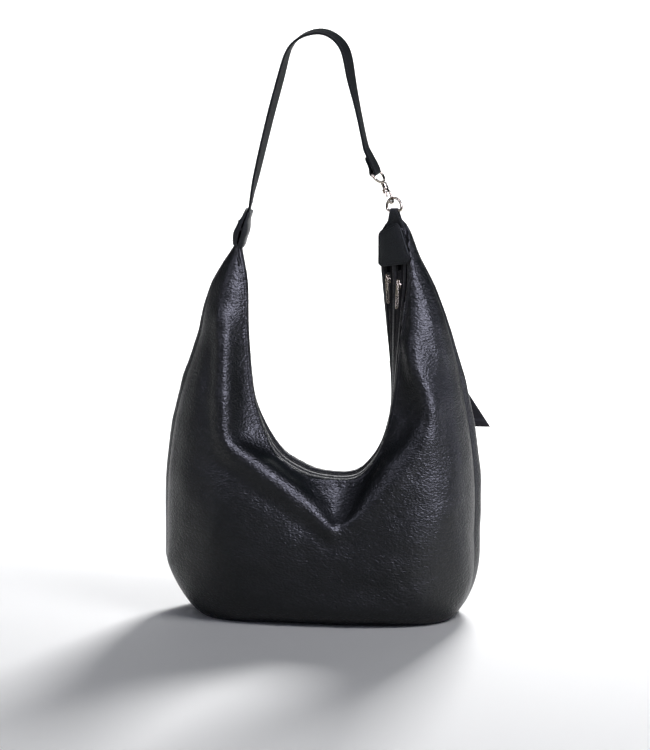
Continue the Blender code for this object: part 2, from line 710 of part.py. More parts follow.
end_width = width_line[-1]
end_run = unit(STRAP_END - spine[-1])
end_run = unit(end_run - end_width * float(np.dot(end_run, end_width)))
end_thick = unit(np.cross(end_run, end_width))
bend = WIRE + PLY_GAP + STRAP_THICK / 2
fold = [STRAP_END + end_thick * bend * math.cos(math.radians(a))
        + end_run * bend * math.sin(math.radians(a)) for a in (0, 30, 60, 90, 120, 150, 180)]
ply_gap = STRAP_THICK + 0.5
shoulder = STRAP_END - end_run * 9.0
fold_back = [STRAP_END - end_run * d - end_thick * (bend - (2 * bend - ply_gap) * min(1, d / 9.0))
             for d in (4.0, 9.0, STRAP_RETURN)]
spine_all = np.vstack([spine[:-1], [shoulder + end_thick * bend], fold, fold_back])
tail_count = len(spine_all) - len(spine) + 1
run_all = unit(np.gradient(spine_all, axis=0))
width_all = np.vstack([width_line[:-1], np.repeat(end_width[None], tail_count, axis=0)])
face_all = unit(np.cross(run_all, width_all))
half_all = np.full(len(spine_all), STRAP_WIDTH / 2)
half_all[:len(foot)] = foot_half
strap_sections = []
for centre, side, face, half_width in zip(spine_all, width_all, face_all, half_all):
    half = side * half_width
    thick = face * STRAP_THICK / 2
    strap_sections.append([centre - half - thick, centre + half - thick,
                           centre + half + thick, centre - half + thick])
strap_pivot = foot[-1]
strap = add_part("shoulder_strap", loft("shoulder_strap", strap_sections), "strap_leather",
                 origin=strap_pivot)

eye_foot = barrel_foot - axis * (BARREL + 2.0)


def eye_points():
    """Loop of the swivel eye: its upper bar lies in the strap's fold."""
    half = end_width * (STRAP_WIDTH / 2 + 2.4)
    top = STRAP_END
    foot = eye_foot
    left = top - half
    right = top + half
    drop = foot - top
    return [foot, foot + (right - top) * 0.45, right + drop * 0.6, right + drop * 0.1,
            top + (right - top) * 0.9, top, top + (left - top) * 0.9, left + drop * 0.1,
            left + drop * 0.6, foot + (left - top) * 0.45]


eye = united("swivel_eye", [eye_post, wire_mesh("eye_loop", eye_points(), 1.15, cyclic=True)])
add_part("swivel_eye", eye, "nickel", origin=barrel_foot, parent=strap)
clasp.parent = strap
clasp.matrix_parent_inverse = strap.matrix_basis.inverted()


# ---------------------------------------------------------------- gate of the clasp

def gate_mesh():
    """Flat gate from its hinge hole down to the hook's tip."""
    curve = bpy.data.curves.new("gate", "CURVE")
    curve.dimensions = "2D"
    curve.fill_mode = "BOTH"
    curve.extrude = 0.8 * MM
    reach = 6.2
    outline = [(1.3 * math.cos(math.radians(a)), 1.3 * math.sin(math.radians(a)))
               for a in range(60, 301, 30)]
    outline += [(reach - 1.0, -2.6), (reach, -2.2), (reach, -0.6), (reach - 1.2, -0.2)]
    hole = [(0.75 * math.cos(math.radians(a)), 0.75 * math.sin(math.radians(a)))
            for a in range(0, 360, 45)]
    for points in (outline, hole):
        spline = curve.splines.new("POLY")
        spline.points.add(len(points) - 1)
        for target, (x, y) in zip(spline.points, points):
            target.co = (x * MM, y * MM, 0.0, 1.0)
        spline.use_cyclic_u = True
    mesh = welded_mesh("clasp_gate", curve)
    mesh.transform(frame_at(hinge, axis, jaw_face))
    return mesh


hinge = clasp_point(HINGE_DOWN, HINGE_SIDE)
gate = add_part("clasp_gate", gate_mesh(), "nickel", origin=hinge, parent=clasp)
pin_ends = [hinge - jaw_face * 2.1, hinge + jaw_face * 2.1]
add_part("gate_pin", wire_mesh("gate_pin", pin_ends, 0.6), "nickel", origin=hinge, parent=clasp)


def spring_points():
    """Torsion spring: three turns round the pin beside the gate."""
    turns = np.radians(np.arange(0, 3 * 360 + 1, 36))
    climb = 1.05 + 0.75 * turns / turns[-1]
    return [hinge + (axis * math.cos(t) + jaw_side * math.sin(t)) * 1.0 + jaw_face * c
            for t, c in zip(turns, climb)]


add_part("gate_spring", wire_mesh("gate_spring", spring_points(), 0.11, sides=0), "nickel",
         origin=hinge, parent=clasp)


# ---------------------------------------------------------------- collar on the left horn

# Height, centre x, half width in x, half depth in y
COLLAR = [(447, -97.4, 10.9, 14.8), (454, -95.6, 10.3, 16.0), (462, -93.4, 9.2, 17.2),
          (470, -91.0, 6.6, 17.6), (478, -88.8, 4.8, 17.4), (486, -87.4, 4.2, 17.0)]
COLLAR_WALL = 1.7
SLIT = 16                               # degrees of open front on each side of -Y


def collar_mesh():
    """Leather wrap with a narrow open slit down its front."""
    angles = np.radians(np.linspace(-90 + SLIT, 270 - SLIT, 17))
    sections = []
    for height, centre, half_x, half_y in COLLAR:
        ring = []
        for shrink, order in ((0.0, angles), (COLLAR_WALL, angles[::-1])):
            for a in order:
                across_x = math.copysign(math.sqrt(abs(math.cos(a))), math.cos(a))
                across_y = math.copysign(math.sqrt(abs(math.sin(a))), math.sin(a))
                ring.append((centre + (half_x - shrink) * across_x,
                             (half_y - shrink) * across_y, height - 2.0 * across_x))
        sections.append(ring)
    return loft("left_collar", sections)


add_part("left_collar", collar_mesh(), "smooth_leather")


# ---------------------------------------------------------------- webbing tail behind the right side

slant = math.radians(TAIL_SLANT)
tail_down = np.array([math.sin(slant), 0.0, -math.cos(slant)])
tail_side = np.array([math.cos(slant), 0.0, math.sin(slant)])
tail_top = TAIL_HEM - tail_down * TAIL_LENGTH


def tail_mesh():
    """Flat webbing with a thicker turned hem and a level lower edge."""
    rows = []
    for share, thick in ((0.0, 0.7), (0.35, 0.7), (0.7, 0.7), (0.925, 0.7), (0.93, 1.6), (1.0, 1.6)):
        skew = share ** 3 * math.tan(slant) * TAIL_WIDTH / 2
        centre = tail_top + tail_down * TAIL_LENGTH * share
        left = centre - tail_side * TAIL_WIDTH / 2 - tail_down * skew
        right = centre + tail_side * TAIL_WIDTH / 2 + tail_down * skew
        out = np.array([0.0, thick, 0.0])
        rows.append([left - out, right - out, right + out, left + out])
    return loft("strap_tail", rows)


add_part("strap_tail", tail_mesh(), "webbing", origin=tail_top)
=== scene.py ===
import math

import bmesh
import bpy
import numpy as np
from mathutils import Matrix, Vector


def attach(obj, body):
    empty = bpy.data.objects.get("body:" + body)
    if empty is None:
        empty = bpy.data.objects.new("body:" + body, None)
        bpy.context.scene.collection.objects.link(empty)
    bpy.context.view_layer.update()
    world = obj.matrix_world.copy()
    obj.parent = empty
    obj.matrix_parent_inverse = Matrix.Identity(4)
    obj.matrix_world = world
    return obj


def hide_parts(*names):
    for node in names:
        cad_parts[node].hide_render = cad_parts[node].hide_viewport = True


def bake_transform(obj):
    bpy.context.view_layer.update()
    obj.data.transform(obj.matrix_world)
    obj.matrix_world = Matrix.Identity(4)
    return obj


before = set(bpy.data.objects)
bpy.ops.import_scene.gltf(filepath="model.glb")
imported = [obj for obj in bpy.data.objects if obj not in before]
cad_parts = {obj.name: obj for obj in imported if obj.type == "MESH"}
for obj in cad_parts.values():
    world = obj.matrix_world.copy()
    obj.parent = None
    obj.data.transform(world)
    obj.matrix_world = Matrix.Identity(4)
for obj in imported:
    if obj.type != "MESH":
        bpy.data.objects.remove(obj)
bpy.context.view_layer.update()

# Hobo bag. Lengths are millimetres of the design and become metres when a mesh is made.


# ==== Studio: a pale paper sweep, soft lights and the camera
# Seamless paper runs along the floor and up behind the bag. The main light stands
# high on the right, a little behind the bag; weaker ones fill the front and the sides.

AIM = Vector((0.0017, -0.0001, 0.291))
CAMERA_TURN, CAMERA_RISE, CAMERA_AWAY = math.radians(6.0), math.radians(11.0), 3.5
CAMERA_LENS = 141.2
PAPER = "f6f6f6"
SWEEP_HALF_WIDTH, SWEEP_FRONT, SWEEP_BEND, SWEEP_RADIUS, SWEEP_TOP = 5.0, -7.0, 3.6, 1.4, 3.4


def linear(text):
    """The linear RGBA colour of an sRGB hex value."""
    parts = [int(text[i:i + 2], 16) / 255 for i in (0, 2, 4)]
    return (*[c / 12.92 if c <= 0.04045 else ((c + 0.055) / 1.055) ** 2.4 for c in parts], 1.0)


def add(tree, kind, inputs=None, **settings):
    """Add a shader node with its settings; each input is a value or a socket to link."""
    made = tree.nodes.new(kind)
    for name, value in settings.items():
        setattr(made, name, value)
    for name, value in (inputs or {}).items():
        if isinstance(value, bpy.types.NodeSocket):
            tree.links.new(value, made.inputs[name])
        else:
            made.inputs[name].default_value = value
    return made


def material_of(name, colour, roughness, metallic=0.0, **sockets):
    """A Principled material, with its node tree and shader."""
    material = bpy.data.materials.new(name)
    material.use_nodes = True
    shader = material.node_tree.nodes["Principled BSDF"]
    shader.inputs["Base Color"].default_value = linear(colour)
    shader.inputs["Roughness"].default_value = roughness
    shader.inputs["Metallic"].default_value = metallic
    for socket, value in sockets.items():
        shader.inputs[socket.replace("_", " ")].default_value = value
    return material, material.node_tree, shader


def mesh_object(name, points, faces, material, closed=False, weld=0.0):
    """A smooth mesh object from points in metres. A closed one has its normals turned
    outwards, after points nearer than weld are merged."""
    mesh = bpy.data.meshes.new(name)
    mesh.from_pydata(np.asarray(points, float).tolist(), [], faces)
    mesh.update()
    if closed:
        work = bmesh.new()
        work.from_mesh(mesh)
        if weld:
            bmesh.ops.remove_doubles(work, verts=work.verts, dist=weld)
        bmesh.ops.recalc_face_normals(work, faces=work.faces)
        work.to_mesh(mesh)
        work.free()
    mesh.shade_smooth()
    mesh.materials.append(material)
    made = bpy.data.objects.new(name, mesh)
    bpy.context.scene.collection.objects.link(made)
    return made


def grid_faces(rows, columns, rows_close=False, columns_close=False, first=0):
    """The quads between neighbouring points of a grid, as point numbers."""
    i, j = np.meshgrid(np.arange(rows - 1 + rows_close), np.arange(columns - 1 + columns_close),
                       indexing="ij")
    i2, j2 = (i + 1) % rows, (j + 1) % columns
    corners = [i * columns + j, i2 * columns + j, i2 * columns + j2, i * columns + j2]
    return first + np.stack(corners, axis=-1).reshape(-1, 4)


# Seamless paper: matt, with no pattern that shows at this distance.
paper, _, _ = material_of("seamless_paper", PAPER, 0.95, Specular_IOR_Level=0.1)
turn = np.linspace(0, math.pi / 2, 24)
sweep_y = np.concatenate([[SWEEP_FRONT], SWEEP_BEND + SWEEP_RADIUS * np.sin(turn),
                          [SWEEP_BEND + SWEEP_RADIUS]])
sweep_z = np.concatenate([[0.0], SWEEP_RADIUS * (1 - np.cos(turn)), [SWEEP_TOP]]) - 0.0004
sweep = np.array([[(x, y, z) for y, z in zip(sweep_y, sweep_z)]
                  for x in (-SWEEP_HALF_WIDTH, SWEEP_HALF_WIDTH)])
floor = mesh_object("paper_sweep", sweep.reshape(-1, 3), grid_faces(2, len(sweep_y)).tolist(),
                    paper)

# Black flags, out of the camera's sight: two stand before the paper and one lies on it
# in front of the bag. They keep its glare off the leather.
felt, _, _ = material_of("flag_felt", "050505", 1.0, Specular_IOR_Level=0.0)
for name, left, right, front, back, top in (("left_flag", -2.9, -1.1, 2.7, 2.7, 2.4),
                                            ("right_flag", 0.62, 2.9, 2.7, 2.7, 2.4),
                                            ("front_flag", -4.9, 4.9, -6.9, -0.95, 0.0)):
    corners = [(left, front, 0.001), (right, front, 0.001), (right, back, top + 0.001),
               (left, back, top + 0.001)]
    flag = mesh_object(name, corners, [[0, 1, 2, 3]], felt)
    flag.visible_camera = flag.visible_diffuse = flag.visible_shadow = False


def soft_light(name, place, target, size, watts, colour="ffffff", seen="all", spread=180):
    """An area light, seen by "all" surfaces or only in "matt" or in "glossy" ones."""
    lamp = bpy.data.lights.new(name, "AREA")
    lamp.shape = "RECTANGLE"
    lamp.size, lamp.size_y = size
    lamp.energy, lamp.spread = watts, math.radians(spread)
    lamp.color = linear(colour)[:3]
    stand = bpy.data.objects.new(name, lamp)
    stand.location = place
    stand.rotation_euler = (Vector(target) - Vector(place)).to_track_quat("-Z", "Y").to_euler()
    stand.visible_diffuse, stand.visible_glossy = seen != "glossy", seen != "matt"
    bpy.context.scene.collection.objects.link(stand)


COOL = "e6e6ff"
soft_light("key_light", (0.45, 1.9, 1.6), (0, 0, 0.2), (0.7, 0.7), 88, seen="matt")
soft_light("side_light", (1.1, -0.6, 2.0), (0, 0, 0.2), (0.7, 0.7), 13, seen="matt")
soft_light("front_strip", (1.25, -1.7, 1.2), (0, 0, 0.2), (0.6, 1.2), 72, COOL, "glossy")
soft_light("front_box", (0.3, -1.25, 1.9), (0, 0, 0.2), (0.9, 0.6), 27, COOL, "glossy")
soft_light("left_box", (-1.3, -1.3, 1.3), (0, 0, 0.2), (0.5, 0.5), 10, COOL, "glossy")
soft_light("right_box", (2.2, 0.3, 0.4), (0, 0, 0.25), (0.4, 0.8), 8, COOL, "glossy")
soft_light("left_card", (-2.2, 0.35, 0.3), (0, 0, 0.25), (1.0, 0.9), 2.5)
soft_light("wall_light", (0.0, 2.2, 3.0), (0, 4.4, 0.5), (5.0, 0.6), 170, spread=120)

world = bpy.data.worlds.new("studio_air")
bpy.context.scene.world = world
world.use_nodes = True
world.node_tree.nodes["Background"].inputs["Color"].default_value = linear("dde6ff")
world.node_tree.nodes["Background"].inputs["Strength"].default_value = 0.08

camera = bpy.data.objects.new("camera", bpy.data.cameras.new("camera"))
bpy.context.scene.collection.objects.link(camera)
camera.data.lens = CAMERA_LENS
camera.data.clip_end = 50
camera.location = AIM + CAMERA_AWAY * Vector((
    math.sin(CAMERA_TURN) * math.cos(CAMERA_RISE),
    -math.cos(CAMERA_TURN) * math.cos(CAMERA_RISE), math.sin(CAMERA_RISE)))
camera.rotation_euler = (AIM - camera.location).to_track_quat("-Z", "Y").to_euler()
bpy.context.scene.camera = camera
bpy.context.scene.view_settings.view_transform = "Standard"


# ==== Front panel: pebble-grained coated leather
# One piece of soft leather, cut to a crescent and gathered so that it folds along a
# ridge beside the opening. Its opening edge is turned in and topstitched, and its
# outer edge is sewn to the back panel and turned in.

STAND = np.array([-1.3, -0.1, 0.0])     # brings the middle of the outline over the origin
LEATHER = 1.3
EDGE_ROLL = 1.4
PANEL_ALONG, PANEL_ACROSS = 280, 148

# Stations from the left horn's tip to the right one: opening edge, inner facet, ridge,
# upper wall, lower wall, flank or base edge, seam.
FRONT = [
    [(-91.5, -4, 472), (-91.9, -4.6, 472), (-92.4, -5, 472), (-93, -5, 472),
     (-93.6, -4.5, 472), (-94, -3, 472), (-94.2, 0, 472)],
    [(-96.2, -6, 447), (-97, -8, 447), (-98.5, -9, 447), (-100.5, -8.8, 447),
     (-102, -7.6, 446), (-103.4, -5, 446), (-104, 0, 446)],
    [(-88, -14, 411), (-95, -19, 411), (-104, -22, 411), (-113, -21, 410),
     (-121, -16, 408), (-127, -8, 407), (-128, 0, 407)],
    [(-86, -19, 369), (-99, -27, 371), (-115, -32, 372), (-125, -29, 369),
     (-133, -22, 367), (-139, -10, 365), (-140, 0, 365)],
    [(-84, -23, 330), (-98, -32, 331), (-113, -41, 332), (-127, -37, 330),
     (-139, -28, 328), (-148, -12, 325), (-150, 0, 325)],
    [(-80, -26, 285), (-96, -37, 287), (-112, -49, 289), (-131, -44, 286),
     (-149, -34, 283), (-163, -15, 279), (-166, 0, 278)],
    [(-73, -28, 250), (-92, -41, 249), (-112, -55, 247), (-135, -50, 240),
     (-157, -38, 232), (-175, -17, 224), (-179, 0, 220)],
    [(-58, -30, 209), (-82, -45, 212), (-106, -60, 214), (-134, -57, 193),
     (-160, -44, 174), (-182, -19, 154), (-187, 0, 147)],
    [(-42, -31, 191), (-55, -47, 191), (-68, -63, 187), (-113, -67, 156),
     (-151, -53, 122), (-181, -24, 86), (-188, 0, 77)],
    [(-29, -31.5, 183), (-37, -49, 177), (-45, -65, 168), (-95, -72, 126),
     (-140, -60, 86), (-177, -30, 57), (-185, 0, 52)],
    [(-13, -32, 176), (-16, -50, 163), (-20, -66, 147), (-62, -75, 98),
     (-100, -70, 48), (-134, -46, 5), (-150, 0, 0)],
    [(6, -32, 172.5), (5, -51, 154), (4, -68, 129), (-20, -76, 88),
     (-45, -74, 42), (-64, -60, 2), (-78, 0, 0)],
    [(27, -32, 171), (26, -52, 146), (24, -69, 115), (22, -76, 82),
     (20, -75, 40), (18, -64, 2), (16, 0, 0)],
    [(44, -32, 174), (46, -52, 158), (50, -68, 138), (68, -76, 90),
     (88, -73, 42), (99, -58, 2), (110, 0, 0)],
    [(58, -31, 186), (66, -48, 182), (76, -65, 172), (104, -74, 120),
     (130, -66, 58), (148, -42, 6), (158, 0, 0)],
    [(70, -30, 206), (83, -46, 206), (98, -62, 202), (128, -68, 156),
     (155, -57, 100), (175, -30, 52), (181, 0, 42)],
    [(80, -29, 236), (101, -43, 238), (124, -57, 236), (147, -58, 194),
     (167, -46, 150), (180, -20, 108), (182.5, 0, 95)],
    [(87, -28, 273), (107, -40, 274), (130, -50, 271), (150, -49, 240),
     (168, -38, 208), (181, -17, 165), (183, 0, 148)],
    [(90.5, -27, 304), (104, -37, 304), (119, -46, 303), (141, -42, 285),
     (159, -32, 262), (174, -14, 230), (177.5, 0, 214)],
    [(94.5, -24.2, 341), (103, -33, 341), (113, -40, 341), (131, -36, 334),
     (148, -27, 318), (160, -12, 300), (164, 0, 292)],
    [(98.5, -21.4, 378), (105, -28, 379), (112, -31, 379), (124, -29, 377),
     (134, -22, 373), (142, -10, 368), (144, 0, 367)],
    [(102.5, -18.6, 415), (106, -22, 416), (110, -23, 416), (115, -21, 416),
     (120, -16, 415), (124, -8, 414), (125, 0, 414)],
    [(100, -14.5, 446), (102, -16.5, 446), (104.5, -17, 446), (107, -15, 446),
     (109, -12, 445), (111, -6, 445), (111.5, 0, 445)],
    [(95, -12, 468), (97, -13, 468), (99, -13, 468), (101, -11.5, 467),
     (102.5, -9, 467), (103.5, -5, 466), (104, 0, 466)],
    [(84, -8, 480), (86, -8.6, 480), (88, -8.8, 480), (90, -8, 480),
     (91.5, -6.4, 480), (92.6, -4, 480), (93, 0, 480)],
]

# Folds of the soft leather: (x, z, half width, height) along each crest, and a height
# under 0 for a hollow.
FRONT_FOLDS = [
    # the ridge down the left horn, along the dip to its lowest point, and up the right
    [(-124, 376, 9, 0), (-113, 349, 10, 4), (-114, 318, 11, 5), (-115, 289, 11, 5),
     (-114, 260, 11, 6), (-112, 232, 10, 6), (-105, 214, 9, 6), (-87, 201, 11, 6.5),
     (-57, 179, 12, 6.5), (-31, 160, 12, 6.5), (-6, 140, 10, 6.5), (17, 119, 8, 5.5)],
    [(17, 119, 7, 5.5), (36, 126, 8, 5), (58, 143, 9, 4.5), (80, 166, 10, 4.5),
     (103, 191, 11, 5), (121, 220, 11, 5), (130, 246, 10, 5), (130, 265, 10, 5),
     (121, 287, 9, 5), (112, 310, 8, 5), (103, 335, 8, 4), (98, 350, 7, 1), (96, 365, 7, 0)],
    # the hollow outside the left ridge
    [(-132, 362, 10, 0), (-128, 331, 10, -2.5), (-130, 298, 10, -3), (-130, 265, 10, -3),
     (-127, 232, 10, -3), (-118, 200, 10, -2.6), (-96, 184, 10, -2.2), (-60, 158, 10, -2.2),
     (-28, 134, 10, -2.2), (6, 108, 9, -2.2), (20, 100, 9, -2), (40, 106, 9, -1.2),
     (62, 122, 10, 0)],
    # the funnel over the lowest point of the dip
    [(27, 168, 16, -1), (22, 150, 14, -3.5), (19, 132, 9, -3)],
    [(58, 181, 5, -0.5), (50, 161, 5, -2.2), (36, 134, 5, -2.4), (24, 120, 5, -1)],
    # short folds from the opening edge
    [(-123, 370, 6, 0.5), (-110, 360, 6, 2), (-98, 352, 6, 1.4), (-90, 345, 5, 0.3)],
    [(100, 250, 6, 0.5), (93, 240, 6, 2.2), (83, 226, 6, 2.2), (74, 212, 5, 0.6)],
    [(112, 238, 7, -0.5), (100, 222, 7, -2), (88, 208, 6, -1.4), (80, 200, 6, 0)],
    # slack over the right horn
    [(108, 366, 6, 0.2), (122, 350, 6, 1.5), (142, 321, 7, 1.6), (158, 285, 7, 0.4)],
    [(118, 378, 5, 0.2), (134, 362, 6, 1.2), (150, 337, 6, 1.2), (159, 308, 6, 0.2)],
    [(112, 352, 6, -0.3), (128, 336, 6, -1.6), (146, 302, 7, -1.5), (158, 268, 7, -0.2)],
    [(106, 434, 7, 0.1), (118, 418, 8, 0.6), (131, 394, 8, 0.7), (141, 370, 8, 0.1)],
    # slack over the left horn and the flanks
    [(-98, 440, 6, 0.3), (-104, 420, 7, 1.1), (-112, 398, 7, 1.0), (-122, 380, 7, 0.3)],
    [(-176, 190, 12, 0.3), (-160, 160, 14, 1.4), (-138, 132, 16, 1.2), (-110, 112, 16, 0.2)],
    [(172, 170, 12, 0.3), (156, 140, 14, 1.4), (132, 112, 16, 1.2), (104, 92, 16, 0.2)],
    [(-90, 40, 14, 0.2), (-40, 28, 16, 1.2), (30, 24, 18, 1.2), (100, 34, 14, 0.2)],
]


def metres(points):
    return (np.asarray(points, float) + STAND) * 0.001


def unit(vectors):
    return vectors / np.linalg.norm(vectors, axis=-1, keepdims=True)


def spline(points, where):
    """Natural cubic spline through rows 0, 1, 2... of points, read at the numbers where.
    On each span it is the straight blend of both ends plus the cubic of their second
    derivatives m, which solve m[i-1] + 4 m[i] + m[i+1] = 6 (p[i+1] - 2 p[i] + p[i-1])."""
    points = np.asarray(points, float)
    flat = points.reshape(len(points), -1)
    inner = np.arange(1, len(flat) - 1)
    system = np.eye(len(flat))
    system[inner, inner - 1], system[inner, inner], system[inner, inner + 1] = 1, 4, 1
    right = np.zeros_like(flat)
    right[inner] = 6 * (flat[2:] - 2 * flat[1:-1] + flat[:-2])
    bend = np.linalg.solve(system, right)
    low = np.clip(np.floor(where).astype(int), 0, len(flat) - 2)
    t = (where - low)[:, None]
    value = flat[low] * (1 - t) + flat[low + 1] * t
    value += ((1 - t) ** 3 - (1 - t)) / 6 * bend[low] + (t ** 3 - t) / 6 * bend[low + 1]
    return value.reshape(len(where), *points.shape[1:])


def run_length(line):
    """Distance along a polyline from its start to each of its rows."""
    return np.concatenate([[0], np.cumsum(np.linalg.norm(np.diff(line, axis=0), axis=1))])


def soften(grid, rounds):
    """Each point moved to 1/4, 1/2, 1/4 of its neighbours, along and across, rounds times."""
    for _ in range(rounds):
        grid[1:-1] = (grid[:-2] + 2 * grid[1:-1] + grid[2:]) / 4
        grid[:, 1:-1] = (grid[:, :-2] + 2 * grid[:, 1:-1] + grid[:, 2:]) / 4
    return grid


def normals_of(grid):
    """Unit normals of a grid: the cross product of its two directions."""
    return unit(np.cross(np.gradient(grid, axis=0), np.gradient(grid, axis=1)))


def fold_height(grid, crests, mirror=1.0):
    """Sum over the folds of height * exp(-(sqrt(d^2 + r^2) - r) / width), where d is the
    distance in x and z to the crest and r, 0.7 of the width, rounds it."""
    total = np.zeros(grid.shape[:2])
    for crest in crests:
        line = spline(crest, np.linspace(0, len(crest) - 1, 24 * len(crest)))
        apart = np.hypot(grid[..., None, 0] - line[:, 0], grid[..., None, 2] - line[:, 1])
        nearest = apart.argmin(axis=-1)
        d = np.take_along_axis(apart, nearest[..., None], axis=-1)[..., 0]
        width, height = line[nearest, 2], line[nearest, 3]
        r = width * 0.7
        total += mirror * height * np.exp(-(np.sqrt(d ** 2 + r ** 2) - r) / width)
    return total


def undulation(grid, seed, size):
    """Slack of hand-worked leather: 18 sine waves in seeded directions, 16 to 70 mm
    long, each as high as size times its length."""
    rng = np.random.default_rng(seed)
    total = np.zeros(grid.shape[:2])
    for length in np.geomspace(16, 70, 18):
        way = unit(rng.normal(size=3) * (1.0, 0.7, 1.3))
        total += size * length * np.sin(2 * math.pi * (grid @ way) / length + rng.uniform(0, 6.28))
    return total


def panel_surface(rows, side, crests, seed):
    """A leather panel's outer face: the spline surface through its stations, with the folds and
    the slack raised along its normals and faded out at both sewn edges, then puckers and a
    grooved hem beside the opening edge. The inward roll is left to rolled."""
    share = np.linspace(0, 1, PANEL_ACROSS)
    grid = spline(rows, np.linspace(0, len(rows) - 1, PANEL_ALONG))
    grid = spline(grid.swapaxes(0, 1), 6 * share ** 1.3).swapaxes(0, 1)
    grid = soften(grid, 8)
    out = normals_of(grid)
    out = out * side * np.sign(out[PANEL_ALONG // 2, PANEL_ACROSS // 2, 1])
    fade = np.clip(share / 0.07, 0, 1) ** 2 * np.clip((1 - share) / 0.10, 0, 1) ** 2
    fade = fade * np.clip(np.minimum(grid[..., 2] / 22, 1), 0, 1)
    height = fold_height(grid, crests) + undulation(grid, seed, 0.003)
    grid = grid + out * (height * fade)[..., None]
    grid = soften(grid, 2)
    # Puckers of the topstitched edge: ripples 11 mm long that die away in 9 mm.
    reach = np.linalg.norm(grid - grid[:, :1], axis=-1)
    run = run_length(grid[:, 0])
    ripple = np.sin(2 * math.pi * run / 11 + 1.5 * np.sin(run / 23))[:, None]
    pucker = 0.25 * ripple * np.exp(-reach / 9) * np.clip(reach / 2, 0, 1)
    hem = 0.5 / (1 + np.exp((reach - 6.4) / 0.35)) - 0.5 * np.exp(-((reach - 5.0) / 0.8) ** 2)
    grid = grid + out * (pucker + hem)[..., None]
    grid[..., 2] = np.maximum(grid[..., 2], 0.02)
    grid[..., 1] = side * np.maximum(side * grid[..., 1], 0.4)
    return grid, out


def rolled(grid, out, roll, tuck, end_roll):
    """The panel with its opening edge rolled in: half a turn of radius roll, then a
    flat tuck; at the seam a quarter turn of radius end_roll."""
    into = unit(grid[:, 2] - grid[:, 0])
    up = unit(out[:, 1] - into * (out[:, 1] * into).sum(axis=1, keepdims=True))
    middle = grid[:, 0] + into * roll - up * roll
    half_turn = np.radians(np.linspace(250, 100, 9))
    edge = [middle - up * roll + into * d for d in np.linspace(tuck, 0.8, 4)]
    edge += [middle + up * roll * math.sin(a) + into * roll * math.cos(a) for a in half_turn]
    keep = np.linalg.norm(grid - grid[:, :1], axis=-1).min(axis=0) > roll
    body = grid[:, keep | (np.arange(grid.shape[1]) > 3)]
    last = body[:, -1]
    on = unit(last - body[:, -3])
    low = out[:, -1]
    centre = last - low * end_roll
    seam = [centre + low * end_roll * math.cos(a) + on * end_roll * math.sin(a)
            for a in np.radians([30, 60, 90])]
    return np.concatenate([np.stack(edge, axis=1), body, np.stack(seam, axis=1)], axis=1)


def panel_object(name, grid, side, thick, material):
    """The rolled skin as a mesh, given its thickness by Solidify."""
    faces = grid_faces(*grid.shape[:2])
    if side < 0:
        faces = faces[:, ::-1]
    made = mesh_object(name, metres(grid.reshape(-1, 3)), faces.tolist(), material)
    wall = made.modifiers.new("thickness", "SOLIDIFY")
    wall.thickness = thick * 0.001
    wall.offset = -1
    return made


def pebbled_leather(name, colour, crevice_shade, roughness, pebble, relief, shine=0.42):
    """Coated leather embossed with a pebble grain and drawn into fine wrinkles; its colour is
    darkened in the grain's crevices as painted shade.
    """
    material, tree, shader = material_of(name, colour, roughness, Specular_IOR_Level=shine)
    place = add(tree, "ShaderNodeTexCoord").outputs["Object"]
    wander = add(tree, "ShaderNodeTexNoise", {"Vector": place, "Scale": 90.0, "Detail": 2.0})
    drift = add(tree, "ShaderNodeVectorMath",
                {0: wander.outputs["Color"], "Scale": pebble * 1.6}, operation="SCALE")
    moved = add(tree, "ShaderNodeVectorMath", {0: place, 1: drift.outputs[0]}, operation="ADD")
    laid = add(tree, "ShaderNodeMapping", {"Vector": moved.outputs[0], "Scale": (0.8, 1.0, 1.35),
                                           "Rotation": (0.0, math.radians(14), 0.0)})
    cells = add(tree, "ShaderNodeTexVoronoi", {"Vector": laid.outputs[0], "Scale": 1 / pebble,
                                               "Smoothness": 0.35}, feature="SMOOTH_F1")
    creases = add(tree, "ShaderNodeTexNoise", {"Vector": laid.outputs[0], "Scale": 0.8 / pebble,
                                               "Detail": 3.0, "Roughness": 0.5, "Distortion": 0.8})
    height = add(tree, "ShaderNodeMath", {0: cells.outputs["Distance"], 1: -0.8,
                                          2: creases.outputs["Fac"]}, operation="MULTIPLY_ADD")
    raised = add(tree, "ShaderNodeBump", {"Height": height.outputs[0], "Distance": relief,
                                          "Strength": 1.0})
    crevice_depth = add(tree, "ShaderNodeMapRange", {"Value": height.outputs[0], "From Min": -0.15,
                                            "From Max": 0.45})
    blotch = add(tree, "ShaderNodeTexNoise", {"Vector": place, "Scale": 22.0, "Detail": 3.0})
    # Painted shade: the colour darkens towards the crevice colour where the grain lies low.
    shade = add(tree, "ShaderNodeMix", {0: crevice_depth.outputs[0], 6: linear(crevice_shade),
                                        7: linear(colour)}, data_type="RGBA")
    dull = add(tree, "ShaderNodeMath", {0: crevice_depth.outputs[0], 1: -0.12, 2: roughness + 0.10},
               operation="MULTIPLY_ADD")
    rough = add(tree, "ShaderNodeMath", {0: blotch.outputs["Fac"], 1: 0.10, 2: dull.outputs[0]},
                operation="MULTIPLY_ADD")
    tree.links.new(shade.outputs[2], shader.inputs["Base Color"])
    tree.links.new(rough.outputs[0], shader.inputs["Roughness"])
    tree.links.new(raised.outputs[0], shader.inputs["Normal"])
    return material


def placed(made, body, slot, *nodes):
    """A finished piece stands for its CAD nodes and moves with a body; its slot is not used."""
    if nodes:
        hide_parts(*nodes)
    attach(made, body)


# Split leather with a black polyurethane coat, embossed with a litchi grain. Its 1.5 mm
# pebbles are drawn 2.7 mm wide so that they show; the coat gives a satin sheen that
# breaks up on the grain.
# Its second colour is painted shade in the grain's crevices.
body_leather = pebbled_leather("pebbled_coated_leather", "0d1417", "050809", 0.27, 0.0027, 0.00058)

